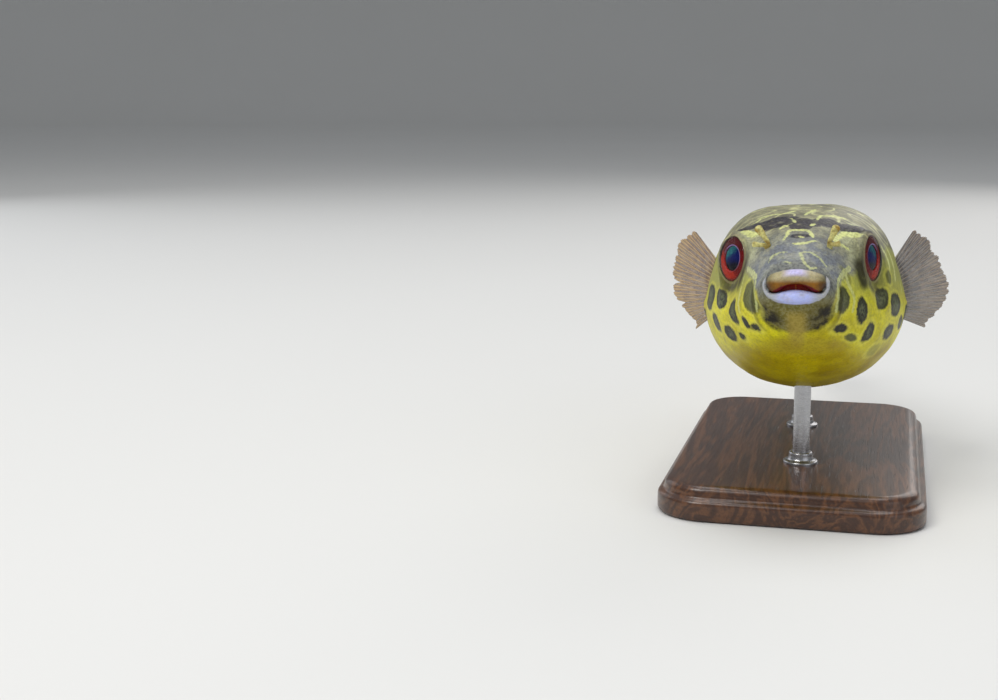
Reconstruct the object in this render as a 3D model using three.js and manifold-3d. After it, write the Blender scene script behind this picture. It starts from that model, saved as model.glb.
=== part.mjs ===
// A giant freshwater pufferfish, young and 125 mm long, as a still life-size model on a plain display stand.
// Millimetres, +Z up, snout towards -Y. The fish hovers with its nose a little up and its pectoral fins spread.
import * as THREE from "three";
import { mergeVertices } from "three/addons/utils/BufferGeometryUtils.js";
import Module from "manifold-3d";

const wasm = await Module();
wasm.setup();

// ---------------------------------------------------------------- driving dimensions

const { degToRad } = THREE.MathUtils;

const BODY_LENGTH = 100; // snout to the root of the tail fin
const TAIL_FIN_LENGTH = 25;
const NOSE_UP = degToRad(7.5);
const ROLL = degToRad(2); // the fish's left side (+X) is a little higher
const TURN_POINT_Y = 45; // the fish is tilted about this place on its axis
const AXIS_HEIGHT = 36; // height of the fish's axis above the floor, at TURN_POINT_Y
const BEND = { from: 12, sweep: -8.7 }; // the axis curves sideways from this station to the tail fin's end
const GAP = 0.3; // between neighbouring solids

// Stations along the body: distance from the snout, half width, heights of back, belly and widest line
// above the axis, how square the upper section is (2 is an ellipse) and how much it narrows upwards.
const STATIONS = [
  { y: 1.9, half: 4.3, back: 2.3, belly: -2.0, waist: 0.1, square: 2, taper: 0 },
  { y: 2.6, half: 5.5, back: 3.3, belly: -3.7, waist: -0.3, square: 2, taper: 0 },
  { y: 4.6, half: 6.8, back: 5.1, belly: -6.6, waist: -1.0, square: 2.1, taper: 0.05 },
  { y: 8, half: 8.8, back: 7.6, belly: -9.8, waist: -2.0, square: 2.4, taper: 0.12 },
  { y: 13, half: 11.8, back: 10.1, belly: -12.7, waist: -2.8, square: 2.8, taper: 0.18 },
  { y: 19, half: 14.6, back: 12.3, belly: -15.2, waist: -3.2, square: 3.1, taper: 0.2 },
  { y: 27, half: 16.9, back: 14.2, belly: -17.3, waist: -2.9, square: 3.3, taper: 0.19 },
  { y: 36, half: 18.0, back: 15.2, belly: -18.3, waist: -2.5, square: 3.3, taper: 0.18 },
  { y: 46, half: 17.7, back: 15.5, belly: -18.2, waist: -2.2, square: 2.8, taper: 0.15 },
  { y: 58, half: 15.4, back: 14.8, belly: -16.3, waist: -1.6, square: 2.3, taper: 0.12 },
  { y: 72, half: 11.0, back: 12.2, belly: -12.4, waist: -0.8, square: 2, taper: 0.06 },
  { y: 87, half: 6.3, back: 8.4, belly: -7.8, waist: 0, square: 2, taper: 0 },
  { y: BODY_LENGTH, half: 3.0, back: 6.3, belly: -5.7, waist: 0.3, square: 2, taper: 0 },
];
const HEAD_END_Y = 31;
const TRUNK_END_Y = 71;
const BELLY_TOP = -8; // the belly node lies below this height, under the trunk

const EYE = { leftX: 9.0, rightX: -9.25, y: 18.4, z: 4.8, radius: 4.6, flat: 0.95 };
const LEFT_GAZE = degToRad(69); // from straight ahead to where each eye looks
const RIGHT_GAZE = degToRad(49);
const GAZE_RISE = degToRad(3);
const PUPIL_RADIUS = 2.15;
const EYE_OPENING = 3.85; // radius of the round opening in the skin
const ORBIT_SKIN = { cover: 0.8, blend: 2.2 }; // skin over the eyeball, and how softly it joins the head
const SOCKET_MARGIN = 0.2;

const MOUTH = { x: 0.08, half: 4.2, middle: -0.05, droop: 0.95, opening: 2.2, depth: 3.2 };
const UPPER_LIP = { half: 4.65, height: 1.55, droop: 1.35, radius: 1.05, endRadius: 1.4, y: 1.1, curve: 1.1 };
const LOWER_LIP = { radius: 0.98, tipRadius: 0.28, y: 1.15, curve: 1.0 };
// Half of the lower lip's middle line, as x and z. It wraps up round the corner of the mouth.
const LOWER_LIP_LINE = [
  [0, -1.64],
  [1.7, -1.7],
  [3.3, -1.63],
  [4.35, -1.25],
  [4.95, -0.4],
  [5.03, 0.5],
  [4.78, 1.7],
];
const BEAK = { half: 3.6, height: 2.6, thickness: 0.9, y: 2.1, z: -1.2, bulge: 0.7, suture: 0.15 };

const TENTACLE = { leftX: 5.5, rightX: -5.5, y: 9.2, z: 5.6, leftSpread: 0.7, rightSpread: 1 };
const TENTACLE_RADIUS = { base: 0.7, waist: 0.5, tip: 0.95, flat: 0.6 };

const PECTORAL_ROOT = { top: new THREE.Vector3(15.7, 37, 4.6), bottom: new THREE.Vector3(17.6, 39.6, -5.8) };
const PECTORAL_DEPTH = 2.5; // how far the rays start inside the skin
const PECTORALS = {
  left: { top: degToRad(60), bottom: degToRad(-21), shortest: 5.3, longest: 12.9, lead: 0.22, roundness: 1.4 },
  right: { top: degToRad(54), bottom: degToRad(-36), shortest: 4.2, longest: 13.7, lead: 0.41, roundness: 2.5 },
};
const PECTORAL_SWEEP = degToRad(36);
const PECTORAL_RAYS = 13;
const DORSAL = { front: 73.5, back: 83, length: 9.2, lean: 0.98, fan: 0.42, rays: 8 };
const ANAL = { front: 75.5, back: 84, length: 8.6, lean: 0.9, fan: 0.45, rays: 8 };
const CAUDAL = { rays: 9, fan: degToRad(15), rootHalf: 4.9, rootY: 98.0, rootZ: 0.3 };
const FIN_THICKNESS = { root: 1.3, edge: 0.6, pleat: 0.25 };

const BASE = { length: 82, width: 46, thickness: 6, corner: 9, bevel: 0.8 };
const BASE_MIDDLE_Y = 47; // along the fish
const ROD_RADIUS = 1.5;
const ROD_YS = [31, 62]; // along the fish
const ROD_IN_FISH = 6;
const ROD_IN_BASE = 3.5;

const FACETS_AROUND = 32;
const RINGS = 33;

// ---------------------------------------------------------------- materials

function material(colour, roughness, metalness = 0) {
  return new THREE.MeshStandardMaterial({ color: new THREE.Color(...colour), roughness, metalness });
}
const HEAD_SKIN = material([0.52, 0.53, 0.36], 0.45);
const BACK_SKIN = material([0.46, 0.46, 0.33], 0.45);
const BELLY_SKIN = material([0.82, 0.74, 0.08], 0.45);
const LIP_SKIN = material([0.72, 0.68, 0.62], 0.4);
const TOOTH = material([0.45, 0.27, 0.08], 0.35);
const IRIS = material([0.7, 0.14, 0.05], 0.15);
const PUPIL = material([0.02, 0.08, 0.3], 0.1);
const FIN_SKIN = material([0.66, 0.6, 0.5], 0.4);
const TAIL_FIN_SKIN = material([0.6, 0.38, 0.12], 0.4);
const TENTACLE_SKIN = material([0.66, 0.52, 0.25], 0.5);
const WOOD = material([0.16, 0.11, 0.08], 0.5);
const STEEL = material([0.72, 0.72, 0.72], 0.3, 1);

// ---------------------------------------------------------------- solids and booleans

const FORWARD = new THREE.Vector3(0, -1, 0);
const UP = new THREE.Vector3(0, 1, 0); // the axis of three.js's own spheres and cylinders

// A closed triangle mesh, given as points and index triples, as a manifold-3d solid.
function solidFrom(geometry) {
  const bare = new THREE.BufferGeometry();
  bare.setAttribute("position", geometry.getAttribute("position"));
  if (geometry.index) bare.setIndex(geometry.index);
  const merged = mergeVertices(bare, 1e-4);
  return new wasm.Manifold(
    new wasm.Mesh({
      numProp: 3,
      vertProperties: new Float32Array(merged.attributes.position.array),
      triVerts: new Uint32Array(merged.index.array),
    }),
  );
}

function geometryFrom(solid) {
  const { vertProperties, triVerts } = solid.simplify(0.02).getMesh();
  const geometry = new THREE.BufferGeometry();
  geometry.setAttribute("position", new THREE.BufferAttribute(new Float32Array(vertProperties), 3));
  geometry.setIndex(new THREE.BufferAttribute(new Uint32Array(triVerts), 1));
  geometry.computeVertexNormals();
  return geometry;
}

function meshOf(name, solid, skin) {
  const mesh = new THREE.Mesh(geometryFrom(solid), skin);
  mesh.name = name;
  return mesh;
}

function boxSolid(low, high) {
  const size = high.clone().sub(low);
  const box = new THREE.BoxGeometry(size.x, size.y, size.z);
  box.translate(...low.clone().add(high).multiplyScalar(0.5).toArray());
  return solidFrom(box);
}

// Rings of points joined into a skin, closed at each end by a pole.
function loft(rings, firstPole, lastPole) {
  const around = rings[0].length;
  const points = [firstPole, ...rings.flat(), lastPole].flatMap((p) => [p.x, p.y, p.z]);
  const last = rings.length * around + 1;
  const at = (ring, k) => 1 + ring * around + (k % around);
  const faces = [];
  for (let k = 0; k < around; k++) {
    faces.push(0, at(0, k), at(0, k + 1));
    faces.push(last, at(rings.length - 1, k + 1), at(rings.length - 1, k));
    for (let ring = 0; ring < rings.length - 1; ring++) {
      const [a, b] = [at(ring, k), at(ring, k + 1)];
      const [c, d] = [at(ring + 1, k + 1), at(ring + 1, k)];
      faces.push(a, d, c, a, c, b);
    }
  }
  const geometry = new THREE.BufferGeometry();
  geometry.setAttribute("position", new THREE.Float32BufferAttribute(points, 3));
  geometry.setIndex(faces);
  const solid = solidFrom(geometry);
  if (solid.volume() > 0) return solid;
  for (let i = 0; i < faces.length; i += 3) [faces[i + 1], faces[i + 2]] = [faces[i + 2], faces[i + 1]];
  geometry.setIndex(faces);
  return solidFrom(geometry);
}

// ---------------------------------------------------------------- body surface

// A station value at y: a smooth curve through the stations.
function along(key, y) {
  let i = STATIONS.findIndex((s) => s.y > y) - 1;
  if (i < 0) i = y < STATIONS[0].y ? 0 : STATIONS.length - 2;
  const slope = (k) => {
    const [before, after] = [STATIONS[Math.max(k - 1, 0)], STATIONS[Math.min(k + 1, STATIONS.length - 1)]];
    return (after[key] - before[key]) / (after.y - before.y);
  };
  const [a, b] = [STATIONS[i], STATIONS[i + 1]];
  const span = b.y - a.y;
  const t = THREE.MathUtils.clamp((y - a.y) / span, 0, 1);
  const [t2, t3] = [t * t, t * t * t];
  return (
    (2 * t3 - 3 * t2 + 1) * a[key] +
    (t3 - 2 * t2 + t) * span * slope(i) +
    (3 * t2 - 2 * t3) * b[key] +
    (t3 - t2) * span * slope(i + 1)
  );
}

// How far the body's axis has swung sideways at y.
function swing(y) {
  const share = Math.max(0, y - BEND.from) / (BODY_LENGTH + TAIL_FIN_LENGTH - BEND.from);
  return BEND.sweep * share * share;
}

const signedPower = (v, power) => Math.sign(v) * Math.abs(v) ** power;

// The larger of two values, rounded where they come within blend of each other.
function softMax(a, b, blend) {
  const near = Math.max(0, 1 - Math.abs(a - b) / blend);
  return Math.max(a, b) + (near * near * blend) / 4;
}

// The way an eye looks: side is 1 for the fish's left eye (+X) and -1 for its right.
function gaze(side) {
  const yaw = side > 0 ? LEFT_GAZE : RIGHT_GAZE;
  const flat = Math.cos(GAZE_RISE);
  return new THREE.Vector3(side * Math.sin(yaw) * flat, -Math.cos(yaw) * flat, Math.sin(GAZE_RISE));
}

const eyeCentre = (side) => new THREE.Vector3(side > 0 ? EYE.leftX : EYE.rightX, EYE.y, EYE.z);

// A point of the skin at y and angle (0 is the +X side, a quarter turn is the back), moved out by grow.
function skinPoint(y, angle, grow = 0) {
  const upper = Math.sin(angle) > 0;
  const power = 2 / (upper ? along("square", y) : 2.05);
  const across = signedPower(Math.cos(angle), power);
  const rise = signedPower(Math.sin(angle), power);
  const waist = along("waist", y);
  const reach = upper ? along("back", y) - waist : waist - along("belly", y);
  const narrowing = upper ? 1 - along("taper", y) * rise : 1;
  const p = new THREE.Vector3((along("half", y) + grow) * across * narrowing, y, waist + (reach + grow) * rise);
  for (const side of [-1, 1]) {
    const fromEye = p.clone().sub(eyeCentre(side));
    const distance = fromEye.length();
    const bulge = EYE.radius + ORBIT_SKIN.cover + grow;
    p.addScaledVector(fromEye, softMax(distance, bulge, ORBIT_SKIN.blend) / distance - 1);
  }
  p.x += swing(y);
  return p;
}

// The whole body from snout to tail root, with rings closest together on the face.
function bodySolid(grow = 0) {
  const rings = [];
  const first = STATIONS[0].y;
  for (let i = 0; i <= RINGS; i++) {
    const y = first + (BODY_LENGTH - first) * (i / RINGS) ** 1.5;
    rings.push(
      Array.from({ length: FACETS_AROUND }, (_, k) => skinPoint(y, (2 * Math.PI * k) / FACETS_AROUND, grow)),
    );
  }
  const snout = new THREE.Vector3(0, first - 0.2 - grow, STATIONS[0].waist);
  const tail = new THREE.Vector3(swing(BODY_LENGTH), BODY_LENGTH + 0.6 + grow, STATIONS.at(-1).waist);
  return loft(rings, snout, tail);
}

// ---------------------------------------------------------------- tubes, such as lips and tentacles

// A tube with round ends along a curve. radii(t) gives its radius across and along the given flat axis.
function tube(curve, radii, flatAxis, steps = 16, around = 12) {
  const rings = [];
  for (let i = 1; i < steps; i++) {
    const t = i / steps;
    const centre = curve.getPointAt(t);
    const forward = curve.getTangentAt(t);
    const across = flatAxis.clone().cross(forward).normalize();
    const thin = forward.clone().cross(across).normalize();
    const round = Math.min(1, Math.sqrt(1 - (1 - Math.min(1, 5 * Math.min(t, 1 - t))) ** 2));
    const [wide, flat] = radii(t);
    rings.push(
      Array.from({ length: around }, (_, k) => {
        const angle = (2 * Math.PI * k) / around;
        return centre
          .clone()
          .addScaledVector(across, wide * round * Math.cos(angle))
          .addScaledVector(thin, flat * round * Math.sin(angle));
      }),
    );
  }
  return loft(rings, curve.getPointAt(0), curve.getPointAt(1));
}


// The upper lip is a bar with thick, round ends.
function upperLip(grow = 0) {
  const { half, height, droop, radius, endRadius, y, curve } = UPPER_LIP;
  const points = [-1, -0.6, 0, 0.6, 1].map(
    (s) => new THREE.Vector3(MOUTH.x + s * (half + grow), y + curve * s * s, height - droop * s * s),
  );
  const thickness = (t) => radius + (endRadius - radius) * (2 * t - 1) ** 2 + grow;
  return tube(new THREE.CatmullRomCurve3(points), (t) => [thickness(t), thickness(t)], FORWARD, 12, 10);
}

// The lower lip is a crescent that wraps up round both corners of the mouth.
function lowerLip(grow = 0) {
  const { radius, tipRadius, y, curve } = LOWER_LIP;
  const half = Math.max(...LOWER_LIP_LINE.map(([x]) => x));
  const pointOf = ([x, z], side) => new THREE.Vector3(MOUTH.x + side * x, y + (curve * x * x) / half ** 2, z);
  const [middle, ...rest] = LOWER_LIP_LINE;
  const right = rest.map((point) => pointOf(point, -1)).reverse();
  const left = rest.map((point) => pointOf(point, 1));
  const line = new THREE.CatmullRomCurve3([...right, pointOf(middle, 1), ...left]);
  const thickness = (t) => {
    const out = Math.min(1, Math.abs(line.getPointAt(t).x - MOUTH.x) / half);
    return tipRadius + (radius - tipRadius) * (1 - out * out) ** 1.5 + grow;
  };
  return tube(line, (t) => [thickness(t), thickness(t)], FORWARD, 16, 9);
}

// The gap between the lips, which arches up in the middle.
function mouthGap(grow = 0) {
  const { x, half, middle, droop, opening, depth } = MOUTH;
  const corner = middle - droop;
  const wide = half + grow;
  const high = opening / 2 + grow;
  const outline = new THREE.Shape();
  outline.moveTo(-wide, corner);
  outline.quadraticCurveTo(0, 2 * (middle + high) - corner, wide, corner);
  outline.quadraticCurveTo(0, 2 * (middle - high) - corner, -wide, corner);
  const gap = new THREE.ExtrudeGeometry(outline, { depth: depth + 3, bevelEnabled: false, curveSegments: 8 });
  gap.rotateX(Math.PI / 2);
  gap.translate(x, depth + grow, 0);
  return solidFrom(gap);
}

// The upper tooth plates: a curved blade behind the upper lip with a groove down its middle.
function upperBeak() {
  const { half, height, thickness, y, z, bulge, suture } = BEAK;
  const blade = new THREE.Shape();
  blade.moveTo(-half, y + bulge);
  blade.quadraticCurveTo(0, y - bulge, half, y + bulge);
  blade.lineTo(half, y + bulge + thickness);
  blade.quadraticCurveTo(0, y - bulge + thickness, -half, y + bulge + thickness);
  blade.closePath();
  const plate = new THREE.ExtrudeGeometry(blade, { depth: height, bevelEnabled: false, curveSegments: 8 });
  plate.translate(MOUTH.x, 0, z);
  const groove = boxSolid(
    new THREE.Vector3(MOUTH.x - suture, y - bulge, z - 1),
    new THREE.Vector3(MOUTH.x + suture, y + 0.2, z + height + 1),
  );
  return solidFrom(plate).subtract(groove);
}

// One nasal tentacle: a short stem that leans in, then forks into a tall lobe and a small outer one.
function tentacle(side) {
  const root = new THREE.Vector3(side > 0 ? TENTACLE.leftX : TENTACLE.rightX, TENTACLE.y, TENTACLE.z);
  const spread = side > 0 ? TENTACLE.leftSpread : TENTACLE.rightSpread;
  const step = (x, y, z) => new THREE.Vector3(root.x + side * spread * x, root.y + y, root.z + z);
  const { base, waist, tip, flat } = TENTACLE_RADIUS;
  const tall = new THREE.CatmullRomCurve3([
    step(0.4, 1.0, -1.6),
    step(0, 0, 0),
    step(-0.6, -0.8, 1.6),
    step(0.1, -1.1, 2.9),
    step(1.3, -0.9, 4.7),
  ]);
  const small = new THREE.CatmullRomCurve3([step(-0.5, -0.6, 1.1), step(0.5, -0.9, 1.5), step(1.9, -0.9, 1.7)]);
  const neck = 0.5;
  const tallWidth = (t) =>
    t < neck ? base + ((waist - base) * t) / neck : waist + ((tip - waist) * (t - neck)) / (1 - neck);
  const smallWidth = (t) => 0.42 + 0.12 * t;
  return tube(tall, (t) => [tallWidth(t), tallWidth(t) * flat], FORWARD, 11, 8).add(
    tube(small, (t) => [smallWidth(t), smallWidth(t) * flat], FORWARD, 7, 8),
  );
}

// ---------------------------------------------------------------- eyes

// An eyeball, grown by grow, flattened along its gaze.
function eyeballSolid(side, grow = 0) {
  const ball = new THREE.SphereGeometry(EYE.radius + grow, 18, 10);
  ball.scale(1, EYE.flat, 1);
  ball.applyQuaternion(new THREE.Quaternion().setFromUnitVectors(UP, gaze(side)));
  ball.translate(...eyeCentre(side).toArray());
  return solidFrom(ball);
}

function alongLine(from, direction, radius, length, sides = 16) {
  const rod = new THREE.CylinderGeometry(radius, radius, length, sides);
  rod.applyQuaternion(new THREE.Quaternion().setFromUnitVectors(UP, direction));
  rod.translate(...from.clone().addScaledVector(direction, length / 2).toArray());
  return solidFrom(rod);
}

function eyePieces(side) {
  const look = gaze(side);
  const ball = eyeballSolid(side);
  const start = eyeCentre(side).addScaledVector(look, EYE.radius * 0.5);
  return {
    eyeball: ball.subtract(alongLine(start, look, PUPIL_RADIUS + GAP, EYE.radius)),
    pupil: ball.intersect(alongLine(start.clone().addScaledVector(look, GAP), look, PUPIL_RADIUS, EYE.radius)),
  };
}

// ---------------------------------------------------------------- fins

// A thin solid over a grid: point(k, r) for k across the rays and r from root to edge, both 0 to 1.
function finSolid(point, rays, rows) {
  const columns = rays * 2;
  const grid = [];
  for (let i = 0; i <= columns; i++) {
    for (let j = 0; j <= rows; j++) grid.push(point(i / columns, j / rows));
  }
  const id = (i, j) => i * (rows + 1) + j;
  const count = grid.length;
  const shifted = (sign) =>
    grid.map((p, n) => {
      const [i, j] = [Math.floor(n / (rows + 1)), n % (rows + 1)];
      const [i0, i1] = [Math.max(i - 1, 0), Math.min(i + 1, columns)];
      const [j0, j1] = [Math.max(j - 1, 0), Math.min(j + 1, rows)];
      const acrossRays = grid[id(i1, j)].clone().sub(grid[id(i0, j)]);
      const alongRay = grid[id(i, j1)].clone().sub(grid[id(i, j0)]);
      const normal = acrossRays.cross(alongRay).normalize();
      const { root, edge, pleat } = FIN_THICKNESS;
      const thickness = root + (edge - root) * Math.sqrt(j / rows) + (i % 2 ? 0 : pleat);
      return p.clone().addScaledVector(normal, (sign * thickness) / 2);
    });
  const points = [...shifted(1), ...shifted(-1)].flatMap((p) => [p.x, p.y, p.z]);
  const faces = [];
  const quad = (a, b, c, d) => faces.push(a, b, c, a, c, d);
  for (let i = 0; i < columns; i++) {
    for (let j = 0; j < rows; j++) {
      quad(id(i, j), id(i + 1, j), id(i + 1, j + 1), id(i, j + 1));
      quad(count + id(i, j), count + id(i, j + 1), count + id(i + 1, j + 1), count + id(i + 1, j));
    }
    quad(id(i, 0), count + id(i, 0), count + id(i + 1, 0), id(i + 1, 0));
    quad(id(i, rows), id(i + 1, rows), count + id(i + 1, rows), count + id(i, rows));
  }
  for (let j = 0; j < rows; j++) {
    quad(id(0, j), id(0, j + 1), count + id(0, j + 1), count + id(0, j));
    quad(id(columns, j), count + id(columns, j), count + id(columns, j + 1), id(columns, j + 1));
  }
  const geometry = new THREE.BufferGeometry();
  geometry.setAttribute("position", new THREE.Float32BufferAttribute(points, 3));
  geometry.setIndex(faces);
  const solid = solidFrom(geometry);
  if (solid.volume() > 0) return solid;
  for (let n = 0; n < faces.length; n += 3) [faces[n + 1], faces[n + 2]] = [faces[n + 2], faces[n + 1]];
  geometry.setIndex(faces);
  return solidFrom(geometry);
}

// The edge dips a little between the rays.
const scallop = (k, rays) => 1 - 0.025 * (1 - Math.abs(Math.cos(Math.PI * rays * k)));

function pectoralFin(side) {
  const { top, bottom, shortest, longest, lead, roundness } = side > 0 ? PECTORALS.left : PECTORALS.right;
  return finSolid(
    (k, r) => {
      const angle = top + (bottom - top) * k;
      const back = PECTORAL_SWEEP + 0.12 * Math.sin(5 * k);
      const way = new THREE.Vector3(
        Math.cos(angle) * Math.cos(back),
        Math.sin(back),
        Math.sin(angle) * Math.cos(back),
      );
      const swell = Math.max(0, Math.sin((Math.PI * (k + lead)) / (1 + lead))) ** roundness;
      const reach = (shortest + (longest - shortest) * swell) * scallop(k, PECTORAL_RAYS);
      const p = PECTORAL_ROOT.top.clone().lerp(PECTORAL_ROOT.bottom, k);
      p.addScaledVector(way, r * (reach + PECTORAL_DEPTH) - PECTORAL_DEPTH);
      p.x = side * (p.x + 0.4 * r * r * Math.sin(11 * k + 0.6)) + swing(p.y);
      return p;
    },
    PECTORAL_RAYS,
    3,
  );
}

// A fin in the fish's middle plane: up is 1 for the dorsal fin and -1 for the anal fin.
function medianFin({ front, back, length, lean, fan, rays }, up) {
  const profile = up > 0 ? "back" : "belly";
  return finSolid(
    (k, r) => {
      const rootY = front + (back - front) * k;
      const angle = lean + fan * k;
      const reach = length * (0.62 + 0.46 * Math.sin(Math.PI * (0.2 + 0.6 * k))) * (1 - 0.3 * k ** 3) * scallop(k, rays);
      const distance = r * (reach + 1.2) - 1.2;
      const y = rootY + distance * Math.sin(angle);
      const z = along(profile, rootY) + up * distance * Math.cos(angle);
      return new THREE.Vector3(swing(y) + 0.5 * r * r * Math.sin(4 * k), y, z);
    },
    rays,
    3,
  );
}

function caudalFin() {
  const { rays, fan, rootHalf, rootY, rootZ } = CAUDAL;
  return finSolid(
    (k, r) => {
      const across = 1 - 2 * k;
      const angle = fan * across;
      const reach = (TAIL_FIN_LENGTH + 2) * (1 - 0.13 * across ** 4 - 0.05 * across ** 2) * scallop(k, rays);
      const y = rootY + r * reach * Math.cos(angle);
      const z = rootZ + rootHalf * across + r * reach * Math.sin(angle);
      return new THREE.Vector3(swing(y) + 0.6 * r * Math.sin(3.2 * across), y, z);
    },
    rays,
    5,
  );
}

// ---------------------------------------------------------------- assembly

// Where the fish's own frame sits on the stand: its axis runs nose up through AXIS_HEIGHT.
const fishToStand = new THREE.Matrix4()
  .makeTranslation(0, TURN_POINT_Y, AXIS_HEIGHT)
  .multiply(new THREE.Matrix4().makeRotationX(-NOSE_UP))
  .multiply(new THREE.Matrix4().makeRotationY(-ROLL))
  .multiply(new THREE.Matrix4().makeTranslation(0, -TURN_POINT_Y, 0));

function transformed(solid, matrix) {
  return solidFrom(geometryFrom(solid).applyMatrix4(matrix));
}

// A rod from the base up into the fish, in the stand's frame, grown by GAP where it makes its own hole.
function rod(fishY, grow = 0) {
  const belly = new THREE.Vector3(swing(fishY), fishY, along("belly", fishY)).applyMatrix4(fishToStand);
  const foot = new THREE.Vector3(belly.x, belly.y, BASE.thickness - ROD_IN_BASE - grow);
  const length = belly.z + ROD_IN_FISH - foot.z + 2 * grow;
  return alongLine(foot, new THREE.Vector3(0, 0, 1), ROD_RADIUS + grow, length, 20);
}

function standBase() {
  const { length, width, thickness, corner, bevel } = BASE;
  const [a, b] = [width / 2 - bevel, length / 2 - bevel];
  const r = corner - bevel;
  const outline = new THREE.Shape();
  outline.moveTo(-a + r, -b).lineTo(a - r, -b);
  outline.absarc(a - r, -b + r, r, -Math.PI / 2, 0);
  outline.absarc(a - r, b - r, r, 0, Math.PI / 2);
  outline.absarc(-a + r, b - r, r, Math.PI / 2, Math.PI);
  outline.absarc(-a + r, -b + r, r, Math.PI, 1.5 * Math.PI);
  const slab = new THREE.ExtrudeGeometry(outline, {
    depth: thickness - 2 * bevel,
    bevelThickness: bevel,
    bevelSize: bevel,
    bevelSegments: 1,
    curveSegments: 6,
  });
  slab.translate(0, 0, bevel);
  return solidFrom(slab);
}

const BIG = 200;
const between = (low, high) => boxSolid(new THREE.Vector3(-BIG, low, -BIG), new THREE.Vector3(BIG, high, BIG));

const grownBody = bodySolid(GAP);
const standToFish = fishToStand.clone().invert();
const rodHoles = ROD_YS.map((y) => transformed(rod(y, GAP), standToFish)).reduce((a, b) => a.add(b));

let body = bodySolid().subtract(rodHoles).subtract(mouthGap());
for (const side of [-1, 1]) {
  body = body.subtract(eyeballSolid(side, SOCKET_MARGIN));
  body = body.subtract(alongLine(eyeCentre(side), gaze(side), EYE_OPENING, 2 * EYE.radius, 24));
}

const bigBox = (bottom, top) => boxSolid(new THREE.Vector3(-BIG, -BIG, bottom), new THREE.Vector3(BIG, BIG, top));
const belowBelly = bigBox(-BIG, BELLY_TOP - GAP / 2);
const aboveBelly = bigBox(BELLY_TOP + GAP / 2, BIG);
const middle = body.intersect(between(HEAD_END_Y + GAP / 2, TRUNK_END_Y - GAP / 2));

const fish = new THREE.Group();
fish.add(meshOf("head", body.intersect(between(-BIG, HEAD_END_Y - GAP / 2)), HEAD_SKIN));
fish.add(meshOf("trunk", middle.intersect(aboveBelly), BACK_SKIN));
fish.add(meshOf("belly", middle.intersect(belowBelly), BELLY_SKIN));
fish.add(meshOf("tail_stem", body.intersect(between(TRUNK_END_Y + GAP / 2, BIG)), BACK_SKIN));

const upperLipSolid = upperLip().subtract(grownBody);
const lowerLipSolid = lowerLip().subtract(grownBody).subtract(upperLip(GAP));
fish.add(meshOf("upper_lip", upperLipSolid, LIP_SKIN));
fish.add(meshOf("lower_lip", lowerLipSolid, LIP_SKIN));
const beakInMouth = upperBeak().intersect(mouthGap(-GAP));
fish.add(meshOf("upper_beak", beakInMouth.subtract(upperLip(GAP)).subtract(lowerLip(GAP)), TOOTH));

for (const [side, name] of [[1, "left"], [-1, "right"]]) {
  const { eyeball, pupil } = eyePieces(side);
  fish.add(meshOf(`eye_${name}`, eyeball, IRIS));
  fish.add(meshOf(`pupil_${name}`, pupil, PUPIL));
  fish.add(meshOf(`nasal_tentacle_${name}`, tentacle(side).subtract(grownBody), TENTACLE_SKIN));
  fish.add(meshOf(`pectoral_fin_${name}`, pectoralFin(side).subtract(grownBody), FIN_SKIN));
}
fish.add(meshOf("dorsal_fin", medianFin(DORSAL, 1).subtract(grownBody), FIN_SKIN));
fish.add(meshOf("anal_fin", medianFin(ANAL, -1).subtract(grownBody), TAIL_FIN_SKIN));
fish.add(meshOf("caudal_fin", caudalFin().subtract(grownBody), TAIL_FIN_SKIN));
fish.applyMatrix4(fishToStand);

const puffer = new THREE.Group();
puffer.add(fish);
puffer.updateMatrixWorld(true);

// The origin is the middle of the model's footprint, on the floor. The base reaches less far than the fish.
const footprint = new THREE.Box3().setFromObject(fish, true).getCenter(new THREE.Vector3());
const base = transformed(standBase(), new THREE.Matrix4().makeTranslation(footprint.x, BASE_MIDDLE_Y, 0));
puffer.add(meshOf("stand_base", ROD_YS.reduce((slab, y) => slab.subtract(rod(y, GAP)), base), WOOD));
ROD_YS.forEach((y, i) => puffer.add(meshOf(`stand_rod_${["front", "rear"][i]}`, rod(y), STEEL)));
puffer.position.set(-footprint.x, -footprint.y, 0);

export default puffer;
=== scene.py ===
"""Looks of the freshwater pufferfish on its display stand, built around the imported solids."""

import itertools
import math

import bpy
import numpy as np
from mathutils import Matrix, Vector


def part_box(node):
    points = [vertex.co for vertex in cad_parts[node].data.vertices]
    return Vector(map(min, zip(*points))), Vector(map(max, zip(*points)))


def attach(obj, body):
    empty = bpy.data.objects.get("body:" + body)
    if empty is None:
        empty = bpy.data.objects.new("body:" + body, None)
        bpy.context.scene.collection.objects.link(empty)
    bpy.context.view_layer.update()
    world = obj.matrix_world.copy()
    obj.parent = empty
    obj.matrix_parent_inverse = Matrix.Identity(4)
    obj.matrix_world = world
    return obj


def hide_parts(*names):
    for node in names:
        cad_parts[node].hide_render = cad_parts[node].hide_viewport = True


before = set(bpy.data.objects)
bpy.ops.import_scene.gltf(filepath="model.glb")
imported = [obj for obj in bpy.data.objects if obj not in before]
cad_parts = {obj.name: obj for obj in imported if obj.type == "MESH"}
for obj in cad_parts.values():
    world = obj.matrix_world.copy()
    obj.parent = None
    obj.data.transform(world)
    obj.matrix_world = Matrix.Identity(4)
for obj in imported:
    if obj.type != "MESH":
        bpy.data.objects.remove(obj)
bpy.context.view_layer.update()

# ---------------------------------------------------------------- sizes
# Lengths are millimetres in the fish's own frame: x to its left, y back from the snout, z up from its axis.

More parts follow.
